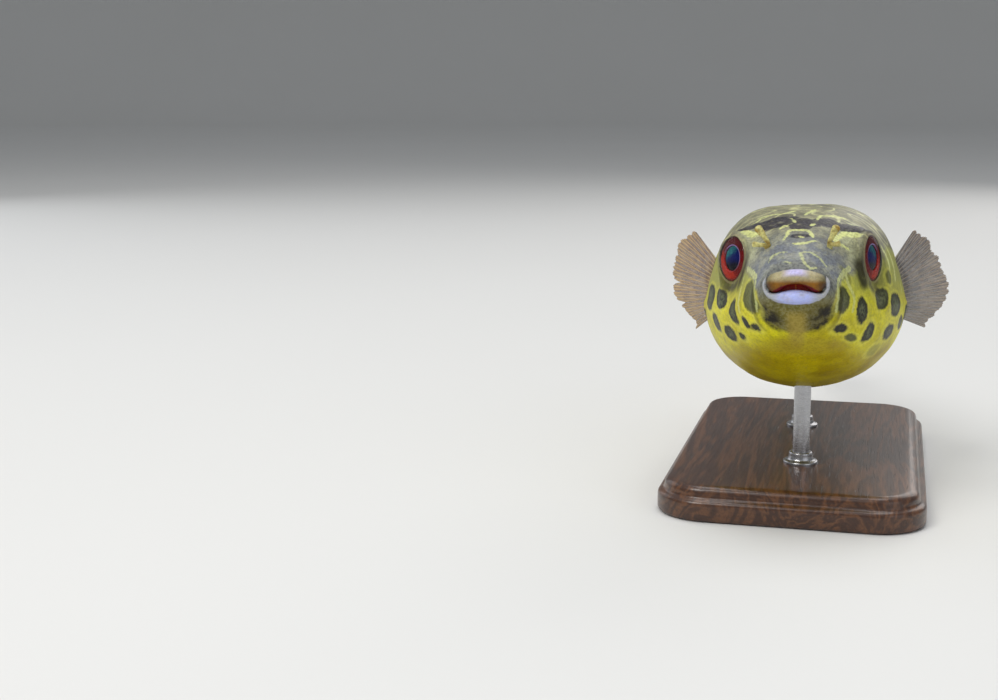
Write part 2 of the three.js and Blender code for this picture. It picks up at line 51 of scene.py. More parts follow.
MM = 0.001
BODY_LENGTH = 100
TAIL_FIN_LENGTH = 25
NOSE_UP = math.radians(7.5)
ROLL = math.radians(2)
TURN_POINT_Y = 45
AXIS_HEIGHT = 36
BASE_MIDDLE_Y = 47
FRONT_ROD_Y = 31
BEND = {"from": 12, "sweep": -8.7}

# The body's outline at distances back from the snout, the same as in the solids.
STATIONS = {
    "y": (1.9, 2.6, 4.6, 8, 13, 19, 27, 36, 46, 58, 72, 87, 100),
    "half": (4.3, 5.5, 6.8, 8.8, 11.8, 14.6, 16.9, 18.0, 17.7, 15.4, 11.0, 6.3, 3.0),
    "back": (2.3, 3.3, 5.1, 7.6, 10.1, 12.3, 14.2, 15.2, 15.5, 14.8, 12.2, 8.4, 6.3),
    "belly": (-2.0, -3.7, -6.6, -9.8, -12.7, -15.2, -17.3, -18.3, -18.2, -16.3, -12.4, -7.8, -5.7),
    "waist": (0.1, -0.3, -1.0, -2.0, -2.8, -3.2, -2.9, -2.5, -2.2, -1.6, -0.8, 0.0, 0.3),
    "square": (2, 2, 2.1, 2.4, 2.8, 3.1, 3.3, 3.3, 2.8, 2.3, 2, 2, 2),
    "taper": (0, 0, 0.05, 0.12, 0.18, 0.2, 0.19, 0.18, 0.15, 0.12, 0.06, 0, 0),
}
LOWER_POWER = 2.05
TAIL_WEDGE = {"from": 93.5, "to": 101.2, "left": 0.22}

EYE = {"x": {1: 9.0, -1: -9.25}, "y": 18.4, "z": 4.8, "radius": 4.6}
GAZE_YAW = {1: math.radians(69), -1: math.radians(49)}
GAZE_RISE = math.radians(3)
ORBIT_SKIN = {"cover": 0.8, "blend": 2.2}
LID = {"angle": math.radians(50), "point": 0.14, "sharp": 0.02, "edge": 4.98, "floor": 2.4, "arc": 5.2}

MOUTH = {"x": 0.08, "half": 4.3, "depth": 4.5, "reach_back": 6.2, "reach_out": 7.6}
UPPER_LIP = {
    "half": 3.22, "height": 1.6, "droop": 0.95, "radius": 1.03, "end_radius": 1.42, "y": 1.1, "curve": 0.7,
}
LOWER_LIP = {"half": 5.05, "radius": 0.98, "tip_radius": 0.24, "y": 1.15, "curve": 1.0}
# Half of the lower lip's middle line, as x and z. It wraps up round the corner of the mouth.
LOWER_LIP_LINE = [
    (0, -1.64), (1.7, -1.7), (3.3, -1.63), (4.35, -1.25), (4.95, -0.4), (5.03, 0.5),
    (4.78, 1.7),
]
BEAK = {"half": 3.6, "height": 2.6, "thickness": 0.9, "y": 2.1, "z": -1.2, "bulge": 0.7}
TENTACLE = {1: (5.5, 9.2, 5.6), -1: (-5.5, 9.2, 5.6)}
TENTACLE_SPREAD = {1: 0.7, -1: 1.0}

PECTORAL_TOP = (15.7, 37, 4.6)
PECTORAL_BOTTOM = (17.6, 39.6, -5.8)
PECTORAL_DEPTH = 2.5
PECTORAL_SWEEP = math.radians(36)
PECTORALS = {
    1: {"top": 60, "bottom": -21, "shortest": 5.3, "longest": 12.9, "lead": 0.22, "roundness": 1.4},
    -1: {"top": 54, "bottom": -36, "shortest": 4.2, "longest": 13.7, "lead": 0.41, "roundness": 2.5},
}
PECTORAL_RAYS = 18
DORSAL = {"front": 73.5, "back": 83, "length": 9.2, "lean": 0.98, "fan": 0.42, "rays": 11}
ANAL = {"front": 75.5, "back": 84, "length": 8.6, "lean": 0.9, "fan": 0.45, "rays": 10}
CAUDAL = {"rays": 10, "fan": 15, "root_half": 4.9, "root_y": 98.0, "root_z": 0.3}

BASE = {"length": 82, "width": 46, "thickness": 6, "corner": 9}
ROD_RADIUS = 1.5

# The camera stands where the photograph's did, and looks down a little past the fish's right side.
CAMERA_PLACE = (15.14, -304.48, 73.61)
CAMERA_TURN = math.radians(-14.7)
CAMERA_PITCH = math.radians(10)
CAMERA_FOCUS_PX = 1500
PICTURE_WIDTH_PX = 998
SENSOR_MM = 36


# ---------------------------------------------------------------- numbers


def smooth(low, high, value):
    """0 below low, 1 above high, and a soft step between."""
    t = np.clip((value - low) / (high - low), 0, 1)
    return t * t * (3 - 2 * t)


def hump(distance, width):
    """1 at no distance, falling softly to nothing over a few widths."""
    return np.exp(-((distance / width) ** 2))


def soft_max(a, b, blend):
    """The larger of two values, rounded where they come within blend of each other."""
    near = np.maximum(0, 1 - np.abs(a - b) / blend)
    return np.maximum(a, b) + near * near * blend / 4


def soft_min(a, b, blend):
    return -soft_max(-a, -b, blend)


def signed_power(value, power):
    return np.sign(value) * np.abs(value) ** power


def unit(v):
    v = np.asarray(v, float)
    return v / np.linalg.norm(v, axis=-1, keepdims=True)


def along(key, y):
    """A station value at y, on a smooth curve through the stations."""
    ys, values = np.array(STATIONS["y"], float), np.array(STATIONS[key], float)
    after = np.minimum(np.arange(len(ys)) + 1, len(ys) - 1)
    before = np.maximum(np.arange(len(ys)) - 1, 0)
    slope = (values[after] - values[before]) / (ys[after] - ys[before])
    y = np.asarray(y, float)
    i = np.clip(np.searchsorted(ys, y, side="right") - 1, 0, len(ys) - 2)
    span = ys[i + 1] - ys[i]
    t = np.clip((y - ys[i]) / span, 0, 1)
    return (
        (2 * t**3 - 3 * t**2 + 1) * values[i]
        + (t**3 - 2 * t**2 + t) * span * slope[i]
        + (3 * t**2 - 2 * t**3) * values[i + 1]
        + (t**3 - t**2) * span * slope[i + 1]
    )


def swing(y):
    """How far the body's axis has swung sideways at y."""
    whole = BODY_LENGTH + TAIL_FIN_LENGTH - BEND["from"]
    share = np.maximum(0, np.asarray(y, float) - BEND["from"]) / whole
    return BEND["sweep"] * share * share


def curve_through(points, count):
    """count points, evenly spaced, on a smooth curve through a few."""
    p = np.array(points, float)
    if len(p) == 2:
        return p[0] + (p[1] - p[0]) * np.linspace(0, 1, count)[:, None]
    padded = np.vstack([2 * p[0] - p[1], p, 2 * p[-1] - p[-2]])
    t = np.linspace(0, 1, 24, endpoint=False)[:, None]
    pieces = []
    for i in range(1, len(padded) - 2):
        a, b, c, d = padded[i - 1 : i + 3]
        pieces.append(
            0.5 * (2 * b + (c - a) * t + (2 * a - 5 * b + 4 * c - d) * t**2 + (3 * b - a - 3 * c + d) * t**3)
        )
    dense = np.vstack(pieces + [p[-1:]])
    length = np.concatenate([[0], np.cumsum(np.linalg.norm(np.diff(dense, axis=0), axis=1))])
    at = np.linspace(0, length[-1], count)
    return np.stack([np.interp(at, length, dense[:, k]) for k in range(p.shape[1])], axis=1)


def distance_to_line(points, line):
    """The distance from each point to a polyline, and how far along it the nearest place is, 0 to 1."""
    best = np.full(len(points), 1e9)
    where = np.zeros(len(points))
    line = np.asarray(line, float)
    for i in range(len(line) - 1):
        step = line[i + 1] - line[i]
        t = np.clip(((points - line[i]) @ step) / (step @ step), 0, 1)
        distance = np.linalg.norm(points - line[i] - t[:, None] * step, axis=1)
        closer = distance < best
        best = np.where(closer, distance, best)
        where = np.where(closer, (i + t) / (len(line) - 1), where)
    return best, where


def lattice_noise(points, size, seed):
    """Smooth noise from -1 to 1 with features of about the given size in millimetres."""
    table = np.random.default_rng(seed).uniform(-1, 1, (32, 32, 32))
    q = points / size
    cell = np.floor(q).astype(int)
    f = q - cell
    f = f * f * (3 - 2 * f)
    total = 0
    for corner in itertools.product((0, 1), repeat=3):
        x, y, z = ((cell + corner) % 32).T
        total = total + np.where(corner, f, 1 - f).prod(axis=1) * table[x, y, z]
    return total


def summed_noise(points, layers):
    """Noises laid over each other, each given as its height, its size in millimetres and its seed."""
    return sum(height * lattice_noise(points, size, seed) for height, size, seed in layers)


def labyrinth(points, wavelength, seed):
    """A field whose zero lines wander like those on a puffer's back: many waves of one length, all ways."""
    random = np.random.default_rng(seed)
    waves = 28
    field = 0
    for _ in range(waves):
        way = unit(random.normal(size=3))
        field = field + np.cos(points @ way * (2 * math.pi / wavelength) + random.uniform(0, 2 * math.pi))
    return field / math.sqrt(waves / 2)


# ---------------------------------------------------------------- the fish's frame on the stand

turned = (
    Matrix.Translation((0, TURN_POINT_Y, AXIS_HEIGHT))
    @ Matrix.Rotation(-NOSE_UP, 4, "X")
    @ Matrix.Rotation(-ROLL, 4, "Y")
    @ Matrix.Translation((0, -TURN_POINT_Y, 0))
)
TURN = np.array(turned)


def centre_of(node):
    low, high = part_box(node)
    return np.array((low + high) / 2) / MM


rod_top = TURN @ np.array([float(swing(FRONT_ROD_Y)), FRONT_ROD_Y, float(along("belly", FRONT_ROD_Y)), 1])
shift_x = rod_top[0] - centre_of("stand_rod_front")[0]
FOOTPRINT = np.array([shift_x, BASE_MIDDLE_Y - centre_of("stand_base")[1], 0])


def to_stand(points):
    """Points of the fish, in millimetres, to metres in the shared frame."""
    return (points @ TURN[:3, :3].T + TURN[:3, 3] - FOOTPRINT) * MM


# ---------------------------------------------------------------- meshes


def mesh_piece(name, points, faces, material, values=None, in_fish=True):
    """A smooth-shaded piece. faces is a list of arrays of vertex numbers, values its per-point numbers."""
    mesh = bpy.data.meshes.new(name)
    where = to_stand(points) if in_fish else points * MM
    mesh.vertices.add(len(where))
    mesh.vertices.foreach_set("co", where.astype(np.float32).ravel())
    corners = np.concatenate([f.ravel() for f in faces]).astype(np.int32)
    sizes = np.concatenate([np.full(len(f), f.shape[1]) for f in faces])
    starts = np.concatenate([[0], np.cumsum(sizes)[:-1]]).astype(np.int32)
    mesh.loops.add(len(corners))
    mesh.loops.foreach_set("vertex_index", corners)
    mesh.polygons.add(len(starts))
    mesh.polygons.foreach_set("loop_start", starts)
    mesh.update(calc_edges=True)
    mesh.validate()
    mesh.shade_smooth()
    for key, value in (values or {}).items():
        attribute = mesh.attributes.new(key, "FLOAT", "POINT")
        attribute.data.foreach_set("value", np.asarray(value, np.float32))
    mesh.materials.append(material)
    piece = bpy.data.objects.new(name, mesh)
    bpy.context.scene.collection.objects.link(piece)
    return piece


def add_piece(name, points, faces, material, slot, nodes=(), values=None, in_fish=True):
    """A piece of the model, with the solids' nodes that it stands for; its slot is not used."""
    piece = mesh_piece(name, points, faces, material, values, in_fish)
    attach(piece, "root")
    if nodes:
        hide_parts(*nodes)


def grid_faces(rows, columns):
    """Quads of a grid of points, row by row, with its last column joined to its first."""
    i, j = (index.ravel() for index in np.meshgrid(np.arange(rows - 1), np.arange(columns), indexing="ij"))
    here, after = i * columns, (i + 1) * columns
    k = (j + 1) % columns
    return np.stack([here + j, after + j, after + k, here + k], axis=1)


def fan_faces(centre, ring, columns, turned_over):
    """Triangles from the point numbered centre to the ring of points that starts at ring."""
    j = np.arange(columns)
    k = (j + 1) % columns
    a, b = (k, j) if turned_over else (j, k)
    return np.stack([np.full(columns, centre), ring + a, ring + b], axis=1)


def closed_loft(rings, first_tip, last_tip):
    """Points and faces of a closed skin over rings of points, shaped (rings, around, 3)."""
    count, around = rings.shape[:2]
    points = np.vstack([rings.reshape(-1, 3), [first_tip], [last_tip]])
    faces = [
        grid_faces(count, around),
        fan_faces(count * around, 0, around, False),
        fan_faces(count * around + 1, (count - 1) * around, around, True),
    ]
    return points, faces


def outward(points, faces):
    """The faces, turned over if they face into the solid."""
    volume = 0
    for f in faces:
        for k in range(1, f.shape[1] - 1):
            a, b, c = points[f[:, 0]], points[f[:, k]], points[f[:, k + 1]]
            volume += (a * np.cross(b, c)).sum()
    return faces if volume > 0 else [f[:, ::-1] for f in faces]


def lathe(profile, around=96):
    """Rings of a turned shape about +Z from (radius, height) pairs, closed on the axis at both ends."""
    angle = np.arange(around) * 2 * math.pi / around
    profile = np.asarray(profile, float)
    radius, height = profile[1:-1, :1], profile[1:-1, 1:]
    x, y = radius * np.cos(angle), radius * np.sin(angle)
    rings = np.stack([x, y, np.repeat(height, around, axis=1)], axis=2)
    points, faces = closed_loft(rings, (0, 0, profile[0, 1]), (0, 0, profile[-1, 1]))
    return points, outward(points, faces)


# ---------------------------------------------------------------- materials


class Signal:
    """A number or colour on its way through a material's nodes. Arithmetic on it adds Math nodes."""

    def __init__(self, shader, socket):
        self.shader = shader
        self.socket = socket

    def __add__(self, other):
        return self.shader.math("ADD", self, other)

    def __sub__(self, other):
        return self.shader.math("SUBTRACT", self, other)

    def __mul__(self, other):
        return self.shader.math("MULTIPLY", self, other)

    def __abs__(self):
        return self.shader.math("ABSOLUTE", self)


class Shader:
    """A node material in the making. Colours are sRGB shares, lengths in textures are millimetres."""

    def __init__(self, name):
        self.material = bpy.data.materials.new(name)
        self.material.use_nodes = True
        self.tree = self.material.node_tree
        self.tree.nodes.clear()
        self.out = self.tree.nodes.new("ShaderNodeOutputMaterial")
        self.place = self.node("TexCoord", output="Object")

    def put(self, socket, value):
        if isinstance(value, Signal):
            self.tree.links.new(value.socket, socket)
        elif isinstance(value, tuple) and socket.type == "RGBA":
            socket.default_value = (*(linear(c) for c in value), 1)
        else:
            socket.default_value = value

    def node(self, kind, inputs=(), output=0, **settings):
        """Adds a node with settings and inputs, by name or number, and gives one of its outputs."""
        node = self.tree.nodes.new("ShaderNode" + kind)
        for key, value in settings.items():
            setattr(node, key, value)
        for key, value in dict(inputs).items():
            self.put(node.inputs[key], value)
        return Signal(self, node.outputs[output])

    def value(self, name):
        """A per-point number of the mesh."""
        return self.node("Attribute", output="Fac", attribute_name=name)

    def math(self, operation, *values, clamp=False):
        return self.node("Math", enumerate(values), operation=operation, use_clamp=clamp)

    def step(self, value, low, high, to_low=0.0, to_high=1.0):
        """A soft step from to_low to to_high while value goes from low to high."""
        names = ("Value", "From Min", "From Max", "To Min", "To Max")
        inputs = zip(names, (value, low, high, to_low, to_high))
        return self.node("MapRange", inputs, interpolation_type="SMOOTHSTEP")

    def mix(self, share, a, b, blend="MIX"):
        return self.node("Mix", {"Factor": share, 6: a, 7: b}, 2, data_type="RGBA", blend_type=blend)

    def noise(self, size, detail=3.0, rough=0.55, warp=0.0, stretch=None):
        """Noise from 0 to 1 with features of about size millimetres."""
        place = self.place
        if stretch:
            place = self.node("VectorMath", {0: place, 1: stretch}, operation="MULTIPLY")
        inputs = {"Vector": place, "Scale": 1 / (size * MM), "Detail": detail, "Roughness": rough}
        inputs["Distortion"] = warp
        return self.node("TexNoise", inputs, "Fac")

    def cells(self, size):
        return self.node("TexVoronoi", {"Vector": self.place, "Scale": 1 / (size * MM)}, "Distance")

    def bump(self, height, depth, below=None):
        """The normal over height, which is depth millimetres high, on top of another bump's."""
        inputs = {"Strength": 1.0, "Distance": depth * MM, "Height": height}
        if below:
            inputs["Normal"] = below
        return self.node("Bump", inputs)

    def principled(self, **inputs):
        shader = self.node("BsdfPrincipled", {key.replace("_", " "): value for key, value in inputs.items()})
        return self.surface(shader)

    def surface(self, shader):
        self.put(self.out.inputs["Surface"], shader)
        return self.material


def linear(share):
    return share / 12.92 if share <= 0.04045 else ((share + 0.055) / 1.055) ** 2.4


# ---------------------------------------------------------------- the skin's shape

AROUND = 640
CAP_RINGS = 74
SKIN_RINGS = np.concatenate(
    [
        np.linspace(1.9, 4.6, 52, endpoint=False),
        np.arange(4.6, 30, 0.16),
        np.arange(30, 74, 0.32),
        np.linspace(74, TAIL_WEDGE["to"], 92),
    ]
)


def gaze_frame(side):
    """An eye's centre, the way it looks, and the directions up and across it."""
    yaw = GAZE_YAW[side]
    flat = math.cos(GAZE_RISE)
    look = np.array([side * math.sin(yaw) * flat, -math.cos(yaw) * flat, math.sin(GAZE_RISE)])
    up = unit(np.array([0, 0, 1]) - look * look[2])
    return np.array([EYE["x"][side], EYE["y"], EYE["z"]]), look, up, np.cross(up, look)


def body_point(y, angle):
    """The plain body at y and angle (0 is the +X side, a quarter turn the back), before its bulges."""
    upper = np.sin(angle) > 0
    power = 2 / np.where(upper, along("square", y), LOWER_POWER)
    across = signed_power(np.cos(angle), power)
    rise = signed_power(np.sin(angle), power)
    waist = along("waist", y)
    reach = np.where(upper, along("back", y) - waist, waist - along("belly", y))
    narrowing = np.where(upper, 1 - along("taper", y) * rise, 1)
    wedge = smooth(TAIL_WEDGE["from"], TAIL_WEDGE["to"], y)
    half = along("half", y) * (1 - (1 - TAIL_WEDGE["left"]) * wedge)
    y = y + 0 * across
    return np.stack([half * across * narrowing + swing(y), y, waist + reach * rise], axis=-1)


def even_angles(y):
    """Angles that space a ring's points evenly in each quarter of it."""
    dense = np.linspace(0, 2 * math.pi, 1441)
    quarter = AROUND // 4
    rows = []
    for ring_y in y:
        ring = body_point(ring_y, dense)
        steps = np.linalg.norm(np.diff(ring, axis=0), axis=1)
        length = np.concatenate([[0], np.cumsum(steps)])
        marks = length[[0, 360, 720, 1080, 1440]]
        wanted = [np.linspace(marks[q], marks[q + 1], quarter, endpoint=False) for q in range(4)]
        rows.append(np.interp(np.concatenate(wanted), length, dense))
    return np.array(rows)


def skin_rings():
    """The body's rings from the middle of the mouth to the tail root, shaped (rings, around, 3)."""
    angles = even_angles(SKIN_RINGS)
    body = body_point(SKIN_RINGS[:, None], angles)
    middle = np.array([0, SKIN_RINGS[0], STATIONS["waist"][0]])
    share = (np.arange(1, CAP_RINGS + 1) / (CAP_RINGS + 1))[:, None, None]
    cap = middle + (body[0] - middle) * share
    cap[:, :, 1] -= 0.35 * (1 - share[:, :, 0] ** 2)
    return np.concatenate([cap, body])


# Ridge and furrow round each eye, and a furrow just under it: distance outside the rim, rise and width.
LID_FOLDS = [(0.7, 0.1, 0.35), (1.6, -0.16, 0.45)]
LOW_LID_FOLD = (2.7, -0.1, 0.5)


def orbit_bulge(points):
    """Lifts the skin over the eyes, opens it round each and rolls its rim. Adds the distance from the rim."""
    from_rim = np.full(points.shape[:-1], 9.0)
    for side in (1, -1):
        centre, look, up, across = gaze_frame(side)
        away = points - centre
        distance = np.linalg.norm(away, axis=-1)
        way = away / distance[..., None]
        turn = np.arccos(np.clip(way @ look, -1, 1))
        clock = np.arctan2(way @ up, way @ across)
        point = np.maximum(0, 1 - np.sqrt(np.cos(clock) ** 2 + LID["sharp"]))
        low = 0.6 + 0.4 * smooth(0.4, -0.9, np.sin(clock))
        rim = LID["angle"] * (0.97 + LID["point"] * low * point**1.5)
        outside = (turn - rim) * LID["arc"]
        skin = soft_max(distance, EYE["radius"] + ORBIT_SKIN["cover"], ORBIT_SKIN["blend"])
        for place, rise, width in LID_FOLDS:
            skin = skin + rise * hump(outside - place, width)
        place, rise, width = LOW_LID_FOLD
        skin = skin + rise * hump(outside - place, width) * smooth(0.2, -0.6, np.sin(clock))
        edge = LID["floor"] + (LID["edge"] - LID["floor"]) * smooth(-0.5, -0.02, outside)
        skin = edge + (skin - edge) * smooth(-0.05, 1.0, outside)
        points = centre + way * skin[..., None]
        from_edge = np.hypot(
            skin * np.sin(turn) - LID["edge"] * np.sin(rim), skin * np.cos(turn) - LID["edge"] * np.cos(rim)
        )
        from_rim = np.minimum(from_rim, from_edge * np.sign(outside))
    return points, from_rim


def lip_lines():
    """Middle lines of the two lips from corner to corner, each with its thickness."""
    s = np.linspace(-1, 1, 121)
    lip = UPPER_LIP
    front = lip["y"] + lip["curve"] * s**2
    upper = np.stack([MOUTH["x"] + s * lip["half"], front, lip["height"] - lip["droop"] * s**2], axis=1)
    thick_upper = lip["radius"] + (lip["end_radius"] - lip["radius"]) * s**2
    lip = LOWER_LIP
    x, z = curve_through([(-x, z) for x, z in LOWER_LIP_LINE[:0:-1]] + LOWER_LIP_LINE, 161).T
    out = np.minimum(1, np.abs(x) / lip["half"])
    lower = np.stack([MOUTH["x"] + x, lip["y"] + lip["curve"] * out**2, z], axis=1)
    thick_lower = lip["tip_radius"] + (lip["radius"] - lip["tip_radius"]) * (1 - out**2) ** 1.8
    thick_lower = thick_lower * smooth(0, 0.07, 0.5 - np.abs(np.linspace(-0.5, 0.5, len(x)))) + 0.02
    return (upper, thick_upper), (lower, thick_lower)


# A lip's front is round up to this share of its radius, and falls away in a steeper curve beyond it.
LIP_SHOULDER = 0.9
LIP_FALL = (0.436, -2.06, -9)
# How softly the lips meet each other and the face, and the soft edge of a lip's colour, in millimetres.
LIP_BLEND = 0.14
FACE_BLEND = 0.22
LIP_EDGE = (-0.1, 0.12)
# How far inside the lips' middle lines the mouth reaches its full depth.
MOUTH_SLOPE = 0.55


def lip_front(x, z, line, thick):
    """The y of a lip's front over places x and z, and the share across it from its middle down."""
    d = np.hypot(x[:, None] - line[:, 0], z[:, None] - line[:, 2])
    nearest = np.argmin(d / thick, axis=1)
    radius = thick[nearest]
    share = d[np.arange(len(x)), nearest] / radius
    past = np.maximum(0, share - LIP_SHOULDER)
    level, slope, curve = LIP_FALL
    beyond = level + slope * past + curve * past**2
    dome = np.where(share < LIP_SHOULDER, np.sqrt(np.maximum(0, 1 - share**2)), beyond)
    return line[nearest, 1] - radius * dome, (line[nearest, 2] - z) / radius


def mouth_shape(points):
    """Rolls the lips forward and sinks the mouth between them. Adds what the markings need to know."""
    shape = points.shape
    flat = points.reshape(-1, 3).copy()
    marks = {key: np.zeros(len(flat)) for key in ("upper_lip", "lower_lip", "lip_down", "mouth")}
    near = (flat[:, 1] < MOUTH["reach_back"]) & (np.abs(flat[:, 0]) < MOUTH["reach_out"])
    x, y, z = flat[near].T
    (upper, thick_upper), (lower, thick_lower) = lip_lines()
    upper_y, upper_down = lip_front(x, z, upper, thick_upper)
    lower_y, lower_down = lip_front(x, z, lower, thick_lower)
    roof = np.interp(x, upper[:, 0], upper[:, 2])
    bottom = lower[lower[:, 2] < -0.3]
    floor = np.interp(x, bottom[:, 0], bottom[:, 2])
    inside = np.minimum(np.minimum(roof - z, z - floor), MOUTH["half"] - np.abs(x - MOUTH["x"]))
    sink = smooth(0.0, MOUTH_SLOPE, inside)
    face = y + (MOUTH["depth"] - y) * sink
    flat[near, 1] = soft_min(face, soft_min(upper_y, lower_y, LIP_BLEND), FACE_BLEND)
    marks["upper_lip"][near] = smooth(*LIP_EDGE, np.minimum(face, lower_y) - upper_y)
    marks["lower_lip"][near] = smooth(*LIP_EDGE, np.minimum(face, upper_y) - lower_y)
    marks["lip_down"][near] = np.clip(np.where(upper_y < lower_y, upper_down, lower_down), -1.5, 1.5)
    marks["mouth"][near] = sink * (1 - marks["upper_lip"][near]) * (1 - marks["lower_lip"][near])
    return flat.reshape(shape), {key: value.reshape(shape[:-1]) for key, value in marks.items()}


def grid_normals(rings):
    """Outward directions of a grid of rings."""
    lengthwise = np.gradient(rings, axis=0)
    around = np.roll(rings, -1, axis=1) - np.roll(rings, 1, axis=1)
    return unit(np.cross(lengthwise, around) + 1e-12) * -1


# Soft folds pressed into the skin: a line of points on the left side, its depth, its width, and how dark the
# painted shade along it is.
FOLDS = [
    ([(6.5, 4.1, 3.0), (7.2, 4.7, 0.6), (7.4, 5.2, -2.0), (6.9, 5.7, -4.6), (5.6, 6.3, -6.6),
        (3.6, 6.8, -7.9)], 0.38, 0.75, 0.6),
    ([(17.6, 34.6, 3.6), (18.3, 33.6, 0.6), (18.5, 33.6, -2.2), (18.1, 34.6, -5.0)], 1.0, 0.55, 1.0),
    ([(11.0, 12.4, -0.4), (13.0, 14.6, -0.9), (15.0, 18.4, -0.5), (16.2, 22.0, 0.6)], 0.12, 0.7, 0.12),
    ([(9.0, 12.0, 5.0), (9.4, 11.9, 4.1), (9.9, 11.8, 2.8), (10.4, 11.8, 1.3),
        (10.9, 12.2, -0.8)], 0.24, 1.6, 1.0),
]

# Swellings of the skin: a line of points on the left side, how far it rises and its width.
PAIRED_SWELLINGS = [
    ([PECTORAL_TOP, PECTORAL_BOTTOM], 1.35, 2.3),
    ([(2.2, 4.6, -5.6), (4.6, 4.6, -5.0), (6.0, 4.6, -3.2)], 0.3, 1.3),
]
# How far the skin rises along the roots of the dorsal and anal fins, and how wide.
MEDIAN_FIN_SWELLING = (0.9, 1.7)
# Faint unevenness of the skin, as summed_noise takes it.
UNEVENNESS = [(0.1, 4.5, 3), (0.035, 1.4, 4)]


def both_sides(line):
    """A line of the left side, and its mirror image on the right, with the body's swing added."""
    line = np.array(line, float)
    for side in (1, -1):
        yield line * (side, 1, 1) + np.stack([swing(line[:, 1]), 0 * line[:, 1], 0 * line[:, 1]], axis=1)


def near_line(points, line, reach):
    low, high = np.min(line, axis=0) - reach, np.max(line, axis=0) + reach
    return ((points > low) & (points < high)).all(axis=1)


def fold_skin(points, normals):
    """Presses the folds in, swells the fin roots and adds the faint unevenness of living skin. Gives too how
    dark the painted shade along the folds is, and where the fin roots swell.
    """
    flat, way = points.reshape(-1, 3), normals.reshape(-1, 3)
    rise = np.zeros(len(flat))
    dark = np.zeros(len(flat))
    for source, depth, width, shade_darkness in FOLDS:
        for line in both_sides(source):
            line = curve_through(line, 25)
            near = near_line(flat, line, 4 * width)
            away, place = distance_to_line(flat[near], line)
            fade = np.sin(math.pi * np.clip(place, 0.02, 0.98)) ** 0.6
            press = hump(away, width) * fade
            rise[near] -= depth * press
            dark[near] = np.maximum(dark[near], shade_darkness * press)
    swellings = []
    for source, height, width in PAIRED_SWELLINGS:
        swellings += [(line, height, width) for line in both_sides(source)]
    for fin, key in ((DORSAL, "back"), (ANAL, "belly")):
        ys = np.linspace(fin["front"] - 0.5, fin["back"], 6)
        swellings.append((np.stack([swing(ys), ys, along(key, ys)], axis=1), *MEDIAN_FIN_SWELLING))
    fin_base = np.zeros(len(flat))
    for line, height, width in swellings:
        near = near_line(flat, line, 3.5 * width)
        away, _ = distance_to_line(flat[near], line)
        swell = hump(away, width)
        rise[near] += height * swell
        if height > 0.5:
            fin_base[near] = np.maximum(fin_base[near], swell)
    rise += summed_noise(flat, UNEVENNESS)
    calm = smooth(3.0, 9.0, flat[:, 1])
    moved = flat + way * (rise * (0.25 + 0.75 * calm))[:, None]
    return moved.reshape(points.shape), dark, fin_base


# ---------------------------------------------------------------- the skin's markings

# Dark spots of the cheeks on each side: place on the skin, half width, half height, lean and how dark it is.
CHEEK_SPOTS = {
    -1: [
        ((-16.3, 24.6, -1.7), 3.3, 2.5, 0.3, 0.75),
        ((-13.7, 17.4, -2.0), 2.4, 2.3, 0.75, 1.0),
        ((-10.9, 11.9, -4.1), 1.55, 2.35, 0.06, 0.85),
        ((-7.8, 6.3, -1.7), 2.3, 2.85, 0.1, 0.5),
        ((-8.6, 9.2, -5.9), 0.86, 1.15, 0.06, 1.3),
        ((-6.9, 7.8, -6.7), 1.1, 0.75, -0.44, 1.0),
        ((-9.4, 12.4, -8.3), 1.0, 0.77, -0.5, 0.8),
        ((-11.8, 15.6, -7.9), 1.85, 1.5, -0.19, 0.95),
        ((-14.7, 20.3, -6.1), 2.2, 1.8, 0.2, 1.1),
    ],
    1: [
        ((7.5, 6.0, -2.1), 1.85, 2.3, -0.13, 0.55),
        ((10.4, 10.9, -3.8), 1.65, 2.4, -0.21, 0.8),
        ((13.7, 17.6, -2.0), 2.6, 2.35, 0.75, 0.65),
        ((15.9, 23.3, -3.0), 3.1, 2.2, 0.19, 0.75),
        ((11.4, 14.6, -7.6), 1.5, 1.8, -0.17, 0.95),
        ((14.6, 22.2, -7.7), 2.7, 1.5, -0.18, 0.85),
        ((12.1, 20.6, -10.8), 2.0, 1.3, -0.5, 0.25),
        ((6.9, 8.0, -6.8), 1.55, 1.05, -0.8, 1.2),
        ((8.6, 11.4, -8.4), 1.45, 1.1, -1.2, 0.5),
        ((16.7, 29.0, -6.2), 2.4, 1.5, -0.5, 0.8),
        ((14.6, 22.4, 1.7), 1.5, 1.4, 0.3, 0.45),
        ((8.0, 7.9, 1.9), 1.0, 1.7, -0.1, 0.3),
    ],
}

# Rows of round spots on the hidden flanks: height as an angle, the y they run between, half size and spacing.
FLANK_ROWS = [
    (math.radians(14), 33, 97, 2.7, 8.2),
    (math.radians(-12), 31, 98, 2.9, 7.8),
    (math.radians(33), 48, 95, 2.3, 8.4),
]

# Dark bars across the forehead between the eyes: a line of points and half its width.
FOREHEAD_BARS = [
    ([(-11.2, 20.2, 9.7), (-9.8, 18.6, 10.2), (-7.5, 17.3, 10.5)], 2.0),
    ([(-6.3, 16.9, 10.7), (-5.5, 16.5, 10.8), (-3.8, 16.2, 11.1), (-1.9, 17.3, 11.7)], 2.8),
    ([(-1.5, 14.8, 10.8), (0.2, 14.6, 10.7), (2.0, 14.8, 10.7)], 2.9),
    ([(3.2, 16.4, 11.4), (4.7, 16.0, 10.8), (6.0, 16.0, 10.5)], 2.1),
    ([(6.5, 15.4, 9.9), (8.4, 16.4, 9.9), (10.8, 18.2, 9.5)], 1.7),
    ([(-1.2, 9.6, 8.5), (1.6, 9.8, 8.5)], 0.8),
]

